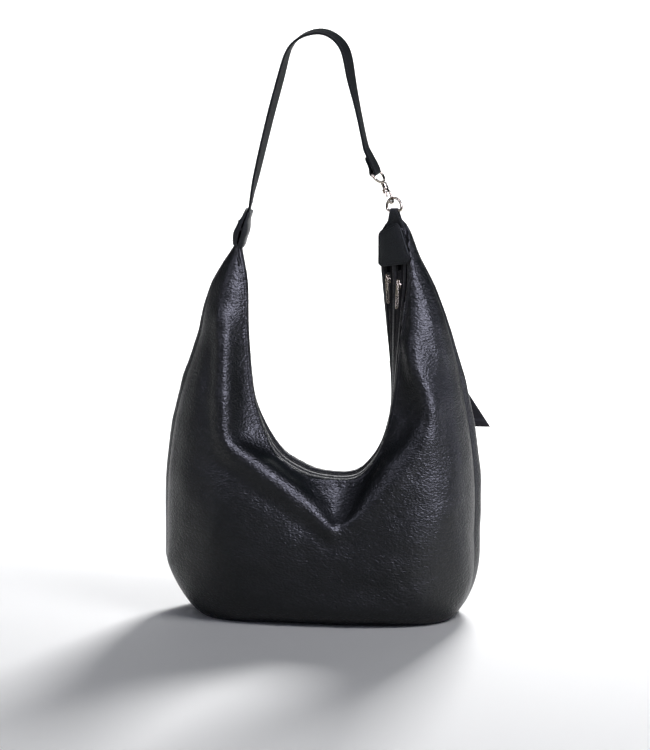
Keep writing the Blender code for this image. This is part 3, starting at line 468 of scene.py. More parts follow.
front_grid, front_out = panel_surface(FRONT, -1, FRONT_FOLDS, 5)
front_panel = panel_object("front_leather", rolled(front_grid, front_out, EDGE_ROLL, 8, 1.0),
                           -1, LEATHER, body_leather)
placed(front_panel, "bag", "pebbled_leather", "front_panel")

# Topstitching beside the opening edge: bonded black thread, 3.4 mm a stitch.
STITCH_PITCH, STITCH_LENGTH, THREAD = 3.4, 2.6, 0.42

thread, thread_tree, thread_shader = material_of("bonded_thread", "17171a", 0.5)
ply = add(thread_tree, "ShaderNodeTexWave",
          {"Vector": add(thread_tree, "ShaderNodeTexCoord").outputs["Object"],
           "Scale": 900.0, "Distortion": 1.0}, bands_direction="DIAGONAL")
twist = add(thread_tree, "ShaderNodeBump", {"Height": ply.outputs["Fac"], "Distance": 0.0001})
thread_tree.links.new(twist.outputs[0], thread_shader.inputs["Normal"])

# A capsule of unit half length along its first axis, in rings of 6 points.
CAPSULE_RINGS = [(-1.0, 0.35), (-0.8, 0.85), (0.0, 1.0), (0.8, 0.85), (1.0, 0.35)]
ring_turn = np.radians(np.arange(0, 360, 60))
capsule = np.array([[(x, r * math.cos(a), r * math.sin(a)) for a in ring_turn]
                    for x, r in CAPSULE_RINGS]).reshape(-1, 3)
capsule_caps = np.array([range(6)[::-1], range(24, 30)])


def even_points(line, pitch):
    """Places along a polyline at an even pitch, as a row number and a share."""
    length = run_length(line)
    stops = np.arange(pitch / 2, length[-1], pitch)
    return np.interp(stops, length, np.arange(len(line)))


def at(values, where):
    """Values of an array's rows at fractional row numbers."""
    low = np.clip(where.astype(int), 0, len(values) - 2)
    t = (where - low)[:, None]
    return values[low] * (1 - t) + values[low + 1] * t


def capsules(name, centres, along, across, size, material):
    """Copies of the capsule: at each centre, its half sizes along, across and up."""
    up = unit(np.cross(along, across))
    axes = np.stack([along * size[0], unit(np.cross(up, along)) * size[1], up * size[2]], axis=1)
    points = centres[:, None] + capsule @ axes
    firsts = len(capsule) * np.arange(len(centres))
    quads = np.concatenate([grid_faces(5, 6, columns_close=True, first=k) for k in firsts])
    caps = np.concatenate([capsule_caps + k for k in firsts])
    return mesh_object(name, metres(points.reshape(-1, 3)), quads.tolist() + caps.tolist(),
                       material, closed=True)


def stitch_line(name, line, up, body, slot, pitch=STITCH_PITCH, length=STITCH_LENGTH):
    """Stitches laid along a line, half sunk in the surface whose normals are up."""
    where = even_points(line, pitch)
    along = unit(at(np.gradient(line, axis=0), where))
    normal = unit(at(up, where))
    across = np.cross(normal, along)
    centres = at(line, where) + normal * 0.12
    placed(capsules(name, centres, along, across, (length / 2, THREAD, THREAD * 0.8), thread),
           body, slot)


def inset_line(grid, out, distance):
    """The line on a surface at a distance from its first column, and its normals."""
    reach = np.linalg.norm(grid - grid[:, :1], axis=-1)
    column = (reach > distance).argmax(axis=1)
    rows = np.arange(len(grid))
    before, after = reach[rows, column - 1], reach[rows, column]
    t = ((distance - before) / (after - before))[:, None]
    line = grid[rows, column - 1] * (1 - t) + grid[rows, column] * t
    return line, out[rows, column]


front_hem, front_hem_up = inset_line(front_grid, front_out, 5.0)
stitch_line("front_hem_stitches", front_hem[3:-3], front_hem_up[3:-3], "bag", "pebbled_leather")


# ==== Back panel: the same leather
# The mirror of the front panel, with a fuller flank and its own opening edge, which
# stands further in on the right horn because the strap's clasp pulls that horn round.

BACK_EDGE = [
    (-91.8, 4, 472), (-97.5, 6.5, 447), (-93, 13, 411), (-93, 18, 369), (-91, 22, 330),
    (-87, 27, 276), (-79, 29, 242), (-61, 31, 207), (-44, 32, 187), (-30, 32.5, 179),
    (-13, 33, 171), (6, 33, 167.5), (25, 33, 167), (42, 33, 172), (56, 33, 186), (68, 33, 206),
    (76.5, 32.5, 235), (79.5, 32, 262), (78, 29, 298), (75, 24, 334), (72, 19, 370),
    (69, 14, 406), (67, 9, 434), (67, 5, 459), (78, 4, 478),
]
BACK_FULLNESS = 0.05
BACK_FOLDS = [
    [(-116, 350, 10, 1.5), (-114, 290, 10, 3), (-108, 220, 10, 3), (-70, 186, 10, 3),
     (-20, 150, 10, 3), (20, 128, 10, 2)],
    [(20, 128, 10, 2), (60, 148, 11, 3), (104, 192, 12, 3), (128, 245, 12, 3),
     (120, 300, 11, 3), (108, 350, 10, 1)],
    [(-150, 250, 12, -1.5), (-140, 190, 14, -2), (-90, 130, 16, -1.5), (-30, 90, 16, 0)],
    [(166, 220, 12, -1.2), (150, 170, 14, -2), (110, 120, 16, -1.5), (60, 80, 16, 0)],
    [(-120, 60, 18, 0.5), (-40, 44, 20, 2), (60, 48, 20, 1.8), (130, 70, 16, 0.4)],
]


def back_rows():
    """Back stations: the front's mirrored in y, eased to the back's own edge, and
    swollen by the fullness on the flank."""
    ease = np.linspace(1.0, 0.0, 7) ** 1.5
    swell = np.array([0.0, 0.0, 0.15, 0.4, 0.8, 1.0, 0.0]) * BACK_FULLNESS
    rows = np.array(FRONT, float) * (1, -1, 1)
    rows += ease[None, :, None] * (np.array(BACK_EDGE, float) - rows[:, 0])[:, None]
    depth = np.minimum(1.0, np.abs(np.array(FRONT, float)[:, 2, 1]) / 45.0)
    rows[..., 0] *= 1 + swell * depth[:, None]
    return rows


back_grid, back_out = panel_surface(back_rows(), 1, BACK_FOLDS, 9)
back_panel = panel_object("back_leather", rolled(back_grid, back_out, EDGE_ROLL, 8, 1.0),
                          1, LEATHER, body_leather)
placed(back_panel, "bag", "pebbled_leather", "back_panel")
back_hem, back_hem_up = inset_line(back_grid, back_out, 5.0)
stitch_line("back_hem_stitches", back_hem[3:-3], back_hem_up[3:-3], "bag", "pebbled_leather")


# ==== Linings and centre divider: plain woven cloth
# Each compartment is lined against its leather panel, and a cloth wall between the
# two zips parts them.

LINING_DEPTH, LINING_THICK = 2.6, 0.6


def woven_cloth(name, colour, thread_gap_shade, pitch, roughness=0.85):
    """Plain weave: two crossed thread waves on the object's own coordinates; the colour is darkened
    between the threads as painted shade.
    """
    material, tree, shader = material_of(name, colour, roughness, Specular_IOR_Level=0.25)
    place = add(tree, "ShaderNodeTexCoord").outputs["Object"]
    warp = add(tree, "ShaderNodeTexWave", {"Vector": place, "Scale": 0.32 / pitch},
               bands_direction="X")
    weft = add(tree, "ShaderNodeTexWave", {"Vector": place, "Scale": 0.32 / pitch},
               bands_direction="Z")
    weave = add(tree, "ShaderNodeMath", {0: warp.outputs["Fac"], 1: weft.outputs["Fac"]},
                operation="MULTIPLY")
    # Painted shade: darker where the thread waves are low, between the threads.
    shade = add(tree, "ShaderNodeMix", {0: weave.outputs[0], 6: linear(thread_gap_shade),
                                        7: linear(colour)}, data_type="RGBA")
    raised = add(tree, "ShaderNodeBump", {"Height": weave.outputs[0], "Distance": 0.0002})
    tree.links.new(shade.outputs[2], shader.inputs["Base Color"])
    tree.links.new(raised.outputs[0], shader.inputs["Normal"])
    return material


# Polyester lining in plain weave, with threads drawn 0.8 mm apart so that they show.
# Its second colour is painted shade between the threads.
lining_cloth = woven_cloth("polyester_lining", "26262b", "131316", 0.0008)

for side_name, grid, out, side in (("front", front_grid, front_out, -1),
                                   ("back", back_grid, back_out, 1)):
    inner = (grid - out * LINING_DEPTH)[4:-4:3, 12:-4:2].copy()
    inner[..., 1] = side * np.maximum(side * inner[..., 1], 1.2)
    inner[..., 2] = np.maximum(inner[..., 2], 2.6)
    lining = panel_object(f"{side_name}_lining_cloth", inner, side, LINING_THICK, lining_cloth)
    placed(lining, "bag", "lining_cloth", f"{side_name}_lining")

rail_tops = (front_grid[:, 0] + back_grid[:, 0]) / 2
seam_line = (front_grid[:, -1] + back_grid[:, -1]) / 2
fall = seam_line - rail_tops
fall_length = np.linalg.norm(fall, axis=1, keepdims=True)
wall_top = rail_tops + fall * (7.0 / fall_length)
wall_foot = rail_tops + fall * (1 - 7.5 / fall_length)
wall_foot[:, 2] = np.maximum(wall_foot[:, 2], 6.0)
drop = np.linspace(0, 1, 40)[None, :, None]
divider = (wall_top[:, None] * (1 - drop) + wall_foot[:, None] * drop)[36:-50:3]
billow = np.sin(divider[..., 0] / 21) * np.sin(divider[..., 2] / 27) * 0.5
divider[..., 1] += billow * np.sin(math.pi * drop[..., 0])
wall = panel_object("divider_cloth", divider, -1, 0.8, lining_cloth)
placed(wall, "bag", "lining_cloth", "centre_divider")


# ==== Zip facings: three strips of the leather along the opening
# Turned leather strips run from horn to horn inside the opening edges, one between
# the two zips and one on each side, and sink a little along the dip.

ZIP_TEETH_WIDTH, ZIP_SLOT, ZIP_TAPE_SHARE = 2.2, 1.0, 0.075
FRONT_ZIP, BACK_ZIP = 0.30, 0.72
GAP = 0.4
GUSSET_SAG = 2.0

front_rail, back_rail = front_grid[:, 0], back_grid[:, 0]
gusset_line = unit(back_rail - front_rail)
gusset_width = np.linalg.norm(back_rail - front_rail, axis=1)
gusset_run = unit(np.gradient((front_rail + back_rail) / 2, axis=0))
gusset_up = unit(np.cross(gusset_run, gusset_line))
if gusset_up[PANEL_ALONG // 2, 2] < 0:
    gusset_up = -gusset_up
squeeze = np.minimum(1.0, gusset_width / 36.0)
row_half = (ZIP_SLOT / 2 + ZIP_TEETH_WIDTH) * squeeze
tape_width = ZIP_TAPE_SHARE * gusset_width
zip_reach = row_half + tape_width + 2 * GAP
STATION_ROWS = (PANEL_ALONG - 1) / (len(FRONT) - 1)
stations = np.arange(PANEL_ALONG) / STATION_ROWS
sag_window = np.clip(np.minimum(stations - 3.0, 18.5 - stations) / 3.5, 0, 1)


def across(distance):
    """Line along the gusset at a distance from its front edge, sunk by a half sine."""
    sink = GUSSET_SAG * np.sin(math.pi * distance / gusset_width) * sag_window
    return front_rail + gusset_line * distance[:, None] - gusset_up * sink[:, None]


def squared(values, power):
    """Each value's sign times its size to a power below 1: it squares off a circle."""
    return np.sign(values) * np.abs(values) ** power


def strip(name, start, stop, low, high, material, part, crown=0.0):
    """A rounded flat section carried along the gusset: 20 points round a squared circle
    from start to stop and low to high, its top raised by crown times the half sine of
    the way across."""
    angles = np.radians(np.linspace(0, 360, 20, endpoint=False) + 9)
    share = 0.5 + 0.5 * squared(np.cos(angles), 0.35)
    rise = 0.5 + 0.5 * squared(np.sin(angles), 0.5)
    a, b = across(start)[part], across(stop)[part]
    lift = low + (high - low) * rise + crown * np.sin(math.pi * share) * (rise > 0.5)
    share, lift = share[:, None], lift[:, None]
    grid = a[:, None] * (1 - share) + b[:, None] * share + gusset_up[part][:, None] * lift
    return tube(name, grid, material)


def skin_of(grid, close=False):
    """Points and faces of a closed skin over rings of points: quads between the rings
    and a fan at each open end."""
    rings, size = grid.shape[:2]
    faces = grid_faces(rings, size, rows_close=close, columns_close=True).tolist()
    points = grid.reshape(-1, 3)
    if not close:
        points = np.concatenate([points, grid[:1].mean(axis=1), grid[-1:].mean(axis=1)])
        last = (rings - 1) * size
        faces += [[rings * size, (k + 1) % size, k] for k in range(size)]
        faces += [[rings * size + 1, last + k, last + (k + 1) % size] for k in range(size)]
    return points, faces


def tube(name, grid, material):
    points, faces = skin_of(grid)
    return mesh_object(name, metres(points), faces, material, closed=True)


whole = slice(int(1.25 * STATION_ROWS), PANEL_ALONG - int(1.1 * STATION_ROWS))
front_stop, back_start = FRONT_ZIP * gusset_width - zip_reach, BACK_ZIP * gusset_width + zip_reach
centre_middle = (FRONT_ZIP + BACK_ZIP) / 2 * gusset_width
centre_half = np.maximum((BACK_ZIP - FRONT_ZIP) / 2 * gusset_width - zip_reach, 0.2)
FACINGS = (
    ("front_zip_facing", np.minimum(2.9, front_stop - 0.4), front_stop),
    ("centre_zip_strip", centre_middle - centre_half, centre_middle + centre_half),
    ("back_zip_facing", back_start, np.maximum(gusset_width - 2.9, back_start + 0.4)),
)
for node, start, stop in FACINGS:
    facing = strip(f"{node}_leather", start, stop, -1.2, 0.0, body_leather, whole, crown=0.5)
    placed(facing, "bag", "pebbled_leather", node)
for name, distance in (("front_facing_stitches", FACINGS[0][2] - 1.6),
                       ("centre_strip_front_stitches", FACINGS[1][1] + 1.6),
                       ("centre_strip_back_stitches", FACINGS[1][2] - 1.6),
                       ("back_facing_stitches", FACINGS[2][1] + 1.6)):
    line = across(distance)[whole] + gusset_up[whole] * 0.15
    stitch_line(name, line, gusset_up[whole], "bag", "pebbled_leather")


# ==== Zips: coil teeth on woven tape
# Two number 5 coil zips. A nylon coil is sewn along the edge of each tape, and the
# teeth of both coils lock in the middle because both zips are closed.

TOOTH_PITCH = 1.5

# Polyester zip tape: a fine twill, drawn with ribs 0.7 mm apart.
# Its second colour is painted shade between the ribs.
zip_tape = woven_cloth("zip_tape_twill", "141417", "08080a", 0.0007)

# Nylon coil, moulded and dyed black: smooth with a soft shine along each tooth.
zip_coil, coil_tree, coil_shader = material_of("nylon_coil", "121214", 0.5)
haze = add(coil_tree, "ShaderNodeTexNoise",
           {"Vector": add(coil_tree, "ShaderNodeTexCoord").outputs["Object"], "Scale": 400.0})
satin = add(coil_tree, "ShaderNodeMapRange", {"Value": haze.outputs["Fac"], "To Min": 0.42,
                                              "To Max": 0.60})
coil_tree.links.new(satin.outputs[0], coil_shader.inputs["Roughness"])

teeth_part = slice(int(1.4 * STATION_ROWS), PANEL_ALONG - int(2.8 * STATION_ROWS))
for zip_name, share in (("front_zip", FRONT_ZIP), ("back_zip", BACK_ZIP)):
    middle = share * gusset_width
    for side_name, sign in (("front", -1), ("back", 1)):
        near, far = middle + sign * (row_half + 0.2), middle + sign * (row_half + GAP + tape_width)
        tape = strip(f"{zip_name}_tape_{side_name}_twill", np.minimum(near, far),
                     np.maximum(near, far), -1.1, -0.5, zip_tape, whole, crown=0.1)
        placed(tape, "bag", "zip_tape", f"{zip_name}_tape_{side_name}")
        line = across(middle + sign * row_half * 0.52)[teeth_part]
        where = even_points(line, TOOTH_PITCH)
        if sign > 0:
            where = where[:-1] + np.diff(where) / 2
        normal = unit(at(gusset_up[teeth_part], where))
        over = unit(at(gusset_line[teeth_part], where))
        centres = at(line, where) - normal * 0.75
        teeth = capsules(f"{zip_name}_coil_{side_name}", centres, over, np.cross(normal, over),
                         (1.55, 0.5, 0.85), zip_coil)
        placed(teeth, "bag", "zip_coil", f"{zip_name}_teeth_{side_name}")


# ==== Zip sliders and pullers: nickel-plated zinc
# Die-cast sliders closed at the right horn, each with a flat puller that hangs from
# the crown and has a long slot near its tip.

FRONT_ZIP_STOP, BACK_ZIP_STOP = 41.5, 41.95     # where the sliders stand, in half stations
CROWN_UP, CROWN_BACK, PULLER_HANG = 3.05, 1.6, 0.08
PULLER_LEAN = 0.13                      # each puller's play lets it lean to one side


def plated(name, colour, roughness, scratch=0.05):
    """Plated metal with faint handling marks and a little dullness in patches."""
    material, tree, shader = material_of(name, colour, roughness, 1.0)
    place = add(tree, "ShaderNodeTexCoord").outputs["Object"]
    cloud = add(tree, "ShaderNodeTexNoise", {"Vector": place, "Scale": 260.0, "Detail": 4.0})
    worn = add(tree, "ShaderNodeMapRange", {"Value": cloud.outputs["Fac"], "From Min": 0.3,
                                            "From Max": 0.7, "To Min": roughness - 0.06,
                                            "To Max": roughness + 0.10})
    fine = add(tree, "ShaderNodeTexNoise", {"Vector": place, "Scale": 1500.0, "Detail": 2.0})
    marks = add(tree, "ShaderNodeBump", {"Height": fine.outputs["Fac"], "Distance": 0.00001,
                                         "Strength": scratch})
    tree.links.new(worn.outputs[0], shader.inputs["Roughness"])
    tree.links.new(marks.outputs[0], shader.inputs["Normal"])
    return material


# Nickel plate over cast zinc: bright and slightly warm, softened by tumbling.
nickel = plated("nickel_plated_zinc", "a39a8c", 0.20)


def square_to(axis, way):
    """Unit direction of the part of way that is at right angles to a unit axis."""
    return unit(way - axis * (way @ axis))


def frame_at(point, x_axis, z_axis):
    """Rows of unit axes whose x and z follow the two directions, and the point."""
    z = unit(np.asarray(z_axis, float))
    y = unit(np.cross(z, x_axis))
    return np.stack([np.cross(y, z), y, z]), np.asarray(point, float)


def put(local, place):
    axes, point = place
    return point + np.asarray(local, float) @ axes


def round_outline(corners, radius, steps=6):
    """A closed outline round 2-D corners, each corner cut by a quadratic curve that
    starts and ends at the radius from it."""
    corners = np.asarray(corners, float)
    before, after = np.roll(corners, 1, axis=0), np.roll(corners, -1, axis=0)
    start = corners + unit(before - corners) * radius
    stop = corners + unit(after - corners) * radius
    t = np.linspace(0, 1, steps)[None, :, None]
    curve = (start[:, None] * (1 - t) ** 2 + 2 * corners[:, None] * t * (1 - t)
             + stop[:, None] * t ** 2)
    return curve.reshape(-1, 2)


def plate(outlines, thick, bevel, place):
    """Points and faces of a flat plate with holes and rounded rims, set in a frame."""
    curve = bpy.data.curves.new("plate", "CURVE")
    curve.dimensions, curve.fill_mode = "2D", "BOTH"
    curve.extrude, curve.bevel_depth = (thick / 2 - bevel) * 0.001, bevel * 0.001
    curve.bevel_resolution = 2
    curve.offset = -bevel * 0.001
    for outline in outlines:
        loop = curve.splines.new("POLY")
        loop.points.add(len(outline) - 1)
        loop.points.foreach_set("co", np.pad(outline * 0.001, ((0, 0), (0, 2))).ravel())
        loop.use_cyclic_u = True
    holder = bpy.data.objects.new("plate", curve)
    bpy.context.scene.collection.objects.link(holder)
    graph = bpy.context.evaluated_depsgraph_get()
    mesh = bpy.data.meshes.new_from_object(holder.evaluated_get(graph))
    bpy.data.objects.remove(holder, do_unlink=True)
    points = np.zeros(len(mesh.vertices) * 3)
    mesh.vertices.foreach_get("co", points)
    faces = [list(face.vertices) for face in mesh.polygons]
    return put(points.reshape(-1, 3) * 1000, place), faces


def ring_grid(path, radii, up, sides=16, close=False, flat=1.0):
    """Rings of points round a path: a circle of each radius, its second axis times flat."""
    path = np.asarray(path, float)
    if close:
        ahead = np.roll(path, -1, axis=0) - np.roll(path, 1, axis=0)
    else:
        ahead = np.gradient(path, axis=0)
    ahead = unit(ahead)
    first = unit(np.asarray(up, float) - ahead * (ahead @ np.asarray(up, float))[:, None])
    second = np.cross(ahead, first)
    a = np.radians(np.linspace(0, 360, sides, endpoint=False))
    radii = np.broadcast_to(radii, len(path))[:, None, None]
    return (path[:, None] + first[:, None] * np.cos(a)[None, :, None] * radii
            + second[:, None] * np.sin(a)[None, :, None] * radii * flat)


def turned(profile, place, sides=32):
    """A solid of revolution about the frame's z from (radius, height) pairs."""
    profile = np.asarray(profile, float)
    a = np.radians(np.linspace(0, 360, sides, endpoint=False))
    rings = np.stack([profile[:, None, 0] * np.cos(a), profile[:, None, 0] * np.sin(a),
                      np.broadcast_to(profile[:, None, 1], (len(profile), sides))], axis=-1)
    return skin_of(put(rings.reshape(-1, 3), place).reshape(len(profile), sides, 3))


WELD, SHARP = 0.000002, math.radians(38)        # metres, and the angle of a crisp edge


def assembled(name, parts, material, body, slot, nodes):
    """One object from several closed skins that were cast or brazed together."""
    points, faces, first = [], [], 0
    for part_points, part_faces in parts:
        points.append(part_points)
        faces += [[first + k for k in face] for face in part_faces]
        first += len(part_points)
    made = mesh_object(name, metres(np.concatenate(points)), faces, material, True, WELD)
    made.data.set_sharp_from_angle(angle=SHARP)
    placed(made, body, slot, *nodes)


def zip_frame(share, stop):
    """Point, run and up direction of a zip where its slider sits."""
    row = np.array([stop / 2 * STATION_ROWS])
    line = across(share * gusset_width)
    point, up = at(line, row)[0], unit(at(gusset_up, row))[0]
    run = unit(at(line, row - 3)[0] - at(line, row + 3)[0])
    return point, run, square_to(run, up)


slider_plate = round_outline([(-5.5, -2.6), (1.5, -3.8), (5.5, -3.2), (5.5, 3.2), (1.5, 3.8),
                              (-5.5, 2.6)], 1.2)
puller_outline = round_outline([(0.9, -1.6), (0.9, 1.6), (-4.6, 2.1), (-8.5, 2.5), (-29.2, 2.6),
                                (-30.5, 1.4), (-30.5, -1.4), (-29.2, -2.6), (-8.5, -2.5),
                                (-4.6, -2.1)], 0.4)
puller_eye = round_outline([(-0.6, -1.1), (-0.6, 1.1), (-4.4, 1.1), (-4.4, -1.1)], 0.7)
puller_slot = round_outline([(-15.5, -1.3), (-15.5, 1.3), (-28.4, 1.3), (-28.4, -1.3)], 0.9)
flange_run = np.linspace(-3.5, 4.6, 10)
flange_out = 3.5 - 0.08 * (flange_run - 1.5) ** 2 * (flange_run < 1.5)
flange_radii = [0.2, 0.45, *[0.55] * 6, 0.45, 0.2]
for zip_name, share, stop in (("front_zip", FRONT_ZIP, FRONT_ZIP_STOP),
                              ("back_zip", BACK_ZIP, BACK_ZIP_STOP)):
    seat, run, up = zip_frame(share, stop)
    side = np.cross(up, run)
    body = zip_name.split("_")[0]
    top = plate([slider_plate], 1.3, 0.35, frame_at(seat + up * 1.5, run, up))
    foot = plate([slider_plate], 1.1, 0.3, frame_at(seat - up * 3.1, run, up))
    flange = [skin_of(ring_grid([seat + run * x + side * sign * y + up * 0.75
                                 for x, y in zip(flange_run, flange_out)], flange_radii, up, 10))
              for sign in (-1, 1)]
    bow = np.radians(np.linspace(0, 180, 15))
    crown_path = [seat + run * (3.6 * math.cos(a) - 0.1) + up * (1.6 + 3.2 * math.sin(a))
                  for a in bow]
    crown = skin_of(ring_grid(crown_path, 0.62, side, 12, flat=0.9))
    post = skin_of(ring_grid([seat - run * 3.6 + up * h for h in (-3.0, 1.2)], 0.5, run, 8))
    assembled(f"{zip_name}_slider_cast", [top, foot, *flange, crown, post], nickel,
              f"{body}_slider", "nickel", [f"{zip_name}_slider"])
    pivot = seat + up * CROWN_UP - run * CROWN_BACK
    hang = unit(run + up * PULLER_HANG + side * PULLER_LEAN)
    face = square_to(hang, up)
    tab = plate([puller_outline, puller_eye, puller_slot], 1.1, 0.3, frame_at(pivot, -hang, face))
    assembled(f"{zip_name}_puller_tab", [tab], nickel, f"{body}_puller", "nickel",
              [f"{zip_name}_puller"])


# ==== D-ring and its tab on the right horn
# A bent nickel-plated wire ring, held by a tapered loop of smooth leather that runs
# under the patch.

WIRE = 1.3
RING_BAR = np.array([85.5, -7.0, 491.0])
RING_SPAN, RING_RISE = 20.0, 14.2
ring_line = unit(np.array([0.903, -0.421, 0.08]))
ring_rise = square_to(ring_line, np.array([-0.10, 0.06, 1.0]))
contact = RING_BAR - ring_line * 4.5 + ring_rise * 12.2
TAB_LENGTH, TAB_PLY, TAB_ROWS = 20.0, 1.3, 60

arch_turn = np.radians(np.linspace(0, 180, 41))
arch = [(RING_SPAN / 2 * math.copysign(abs(math.cos(a)) ** 0.9, math.cos(a)),
         0.6 + (RING_RISE - 0.6) * math.sin(a) ** 0.8) for a in arch_turn]
bar_line = [(x, -0.6 + 0.35 * (abs(x) / 9.5) ** 6) for x in np.linspace(-9.0, 9.0, 17)]
ring_path = np.array([RING_BAR + ring_line * x + ring_rise * y for x, y in arch + bar_line])
for _ in range(3):
    ring_path = (np.roll(ring_path, 1, axis=0) + 2 * ring_path + np.roll(ring_path, -1, axis=0)) / 4
ring_wire = ring_grid(ring_path, WIRE + 0.5, np.cross(ring_line, ring_rise), 18, close=True)
assembled("d_ring_wire", [skin_of(ring_wire, close=True)], nickel, "ring", "nickel",
          ["horn_ring"])

# Smooth black leather, finished matt; its pore grain, 1 mm wide, dulls the sheen.
# Its second colour is painted shade in the pores.
smooth_leather = pebbled_leather("smooth_calf_leather", "2a3033", "181c1e", 0.42, 0.0010,
                                 0.00012, 0.3)


def flat_ring(width, thick, sides=24, corner=0.3):
    """A flat section: half width times cos^corner and half thickness times sin^0.6."""
    a = np.radians(np.linspace(0, 360, sides, endpoint=False))
    return squared(np.cos(a), corner) * width / 2, squared(np.sin(a), 0.6) * thick / 2


def band(centres, side, widths, thick, sides=24):
    """Flat sections carried along a path, each across its side direction."""
    centres, side = np.asarray(centres, float), np.asarray(side, float)
    runs = unit(np.gradient(centres, axis=0))
    side = unit(side - runs * (side * runs).sum(axis=1, keepdims=True))
    face = np.cross(runs, side)
    x, y = flat_ring(1.0, 1.0, sides)
    widths = np.broadcast_to(widths, len(centres))[:, None, None]
    thick = np.broadcast_to(thick, len(centres))[:, None, None]
    return (centres[:, None] + side[:, None] * x[None, :, None] * widths
            + face[:, None] * y[None, :, None] * thick), side, face


down = square_to(ring_line, np.array([0.0, 0.0, -1.0]))
tab_out = unit(np.cross(ring_line, -down))
tab_out = tab_out * -np.sign(tab_out[1])
tab_bend = WIRE + GAP + TAB_PLY / 2
tab_route = [(TAB_LENGTH, 0.9), (TAB_LENGTH * 0.6, 1.4), (TAB_LENGTH * 0.25, tab_bend)]
tab_route += [(-tab_bend * math.sin(a), tab_bend * math.cos(a))
              for a in np.radians([0, 45, 90, 135, 180])]
tab_route += [(TAB_LENGTH * 0.25, -tab_bend), (TAB_LENGTH * 0.6, -1.4), (TAB_LENGTH, -0.9)]
tab_route = spline(tab_route, np.linspace(0, len(tab_route) - 1, TAB_ROWS))
tab_middle = RING_BAR - ring_rise * 0.6
tab_centres = tab_middle + tab_route[:, :1] * down + tab_route[:, 1:] * tab_out
tab_widths = 10.0 + 14.0 * np.maximum(tab_route[:, 0], 0) / TAB_LENGTH
tab_grid, tab_side, tab_face = band(tab_centres, np.tile(ring_line, (TAB_ROWS, 1)), tab_widths,
                                    TAB_PLY)
tab_loop = tube("ring_tab_leather", tab_grid, smooth_leather)
placed(tab_loop, "bag", "smooth_leather", "ring_tab")
front_ply = slice(0, TAB_ROWS // 3)
face = tab_face[front_ply] * np.sign(tab_face[front_ply] @ tab_out)[:, None]
for name, sign in (("tab_left_stitches", -1), ("tab_right_stitches", 1)):
    edge = sign * (tab_widths[front_ply, None] / 2 - 1.8)
    line = tab_centres[front_ply] + tab_side[front_ply] * edge + face * TAB_PLY / 2
    stitch_line(name, line, face, "bag", "smooth_leather", 2.8, 2.1)


# ==== Patch over the zip ends
# A stitched patch of smooth leather, folded round the horn over the ends of both zips
# and the foot of the ring's tab. Its edges are turned under, so it is puffed inside
# the row of stitches.

PATCH = np.array([[(67.0, 7.0, 421.5), (109.0, -21.0, 431.0)],
                  [(67.5, 3.5, 464.0), (92.5, -14.5, 479.0)]])
PATCH_THICK = 1.8


def patch_point(u, v):
    """The patch's bilinear middle face at shares u across and v up, out along its normal
    by 2 + 1.5 sin(pi u)."""
    foot = PATCH[0, 0] * (1 - u) + PATCH[0, 1] * u
    top = PATCH[1, 0] * (1 - u) + PATCH[1, 1] * u
    return foot * (1 - v) + top * v + patch_out * (2.0 + 1.5 * np.sin(math.pi * u))


patch_out = unit(np.cross(PATCH[0, 1] - PATCH[0, 0], PATCH[1, 0] - PATCH[0, 0]))
patch_out = patch_out * -np.sign(patch_out[1])
SQUARE = [(-1, -1), (1, -1), (1, 1), (-1, 1)]
border = round_outline(SQUARE, 0.42, 12)
spokes = np.linspace(1.0, 0.0, 15)[:, None, None]
disc = border[None] * spokes
u, v = (disc[..., 0:1] + 1) / 2, (disc[..., 1:2] + 1) / 2
inside = 1 - np.abs(disc).max(axis=-1, keepdims=True)
puff = PATCH_THICK * (0.55 + 0.45 * np.clip(inside / 0.07, 0, 1) ** 0.5)
groove = 1.1 * np.exp(-((inside - 0.15) / 0.055) ** 2)
puff = puff - groove + 0.7 * np.clip((inside - 0.15) / 0.5, 0, 1) ** 0.7
face_up = patch_point(u, v) + patch_out * puff
face_down = patch_point(u, v)[::-1]
patch_grid = np.concatenate([face_up[::-1][1:], face_down[::-1][:-1]], axis=0)
patch = tube("end_patch_leather", patch_grid, smooth_leather)
placed(patch, "bag", "smooth_leather", "end_patch")
seam_turn = round_outline(SQUARE, 0.12, 12) * 0.87
seam_turn = np.vstack([seam_turn, seam_turn[:1]])
su, sv = (seam_turn[:, :1] + 1) / 2, (seam_turn[:, 1:] + 1) / 2
seam_path = patch_point(su, sv) + patch_out * (PATCH_THICK - 0.35)
seam_path = at(seam_path, even_points(seam_path, 0.8))
stitch_line("patch_stitches", seam_path, np.tile(patch_out, (len(seam_path), 1)), "bag",
            "smooth_leather", 2.9, 2.2)


# ==== Swivel clasp: nickel-plated zinc
# The barrel turns on the eye's post, the hook below it bears on the D-ring, and a
# sprung gate closes the hook.

clasp_axis = unit(np.array([0.403, -0.16, -0.90]))
jaw_side = square_to(clasp_axis, np.array([0.32, 0.94, -0.045]))
jaw_face = unit(np.cross(clasp_axis, jaw_side))
JAW_HALF, JAW_LENGTH, JAW_ROWS, BARREL = 6.4, 15.0, 80, 9.0
barrel_foot = contact + clasp_axis * (2 * WIRE + 1.5) - clasp_axis * (JAW_LENGTH + 1.5)
barrel_place = frame_at(barrel_foot, jaw_face, -clasp_axis)


def clasp_point(down, side, out=0.0):
    """Point of the clasp: down its axis from the barrel's foot, to its side and out."""
    return barrel_foot + clasp_axis * down + jaw_side * side + jaw_face * out


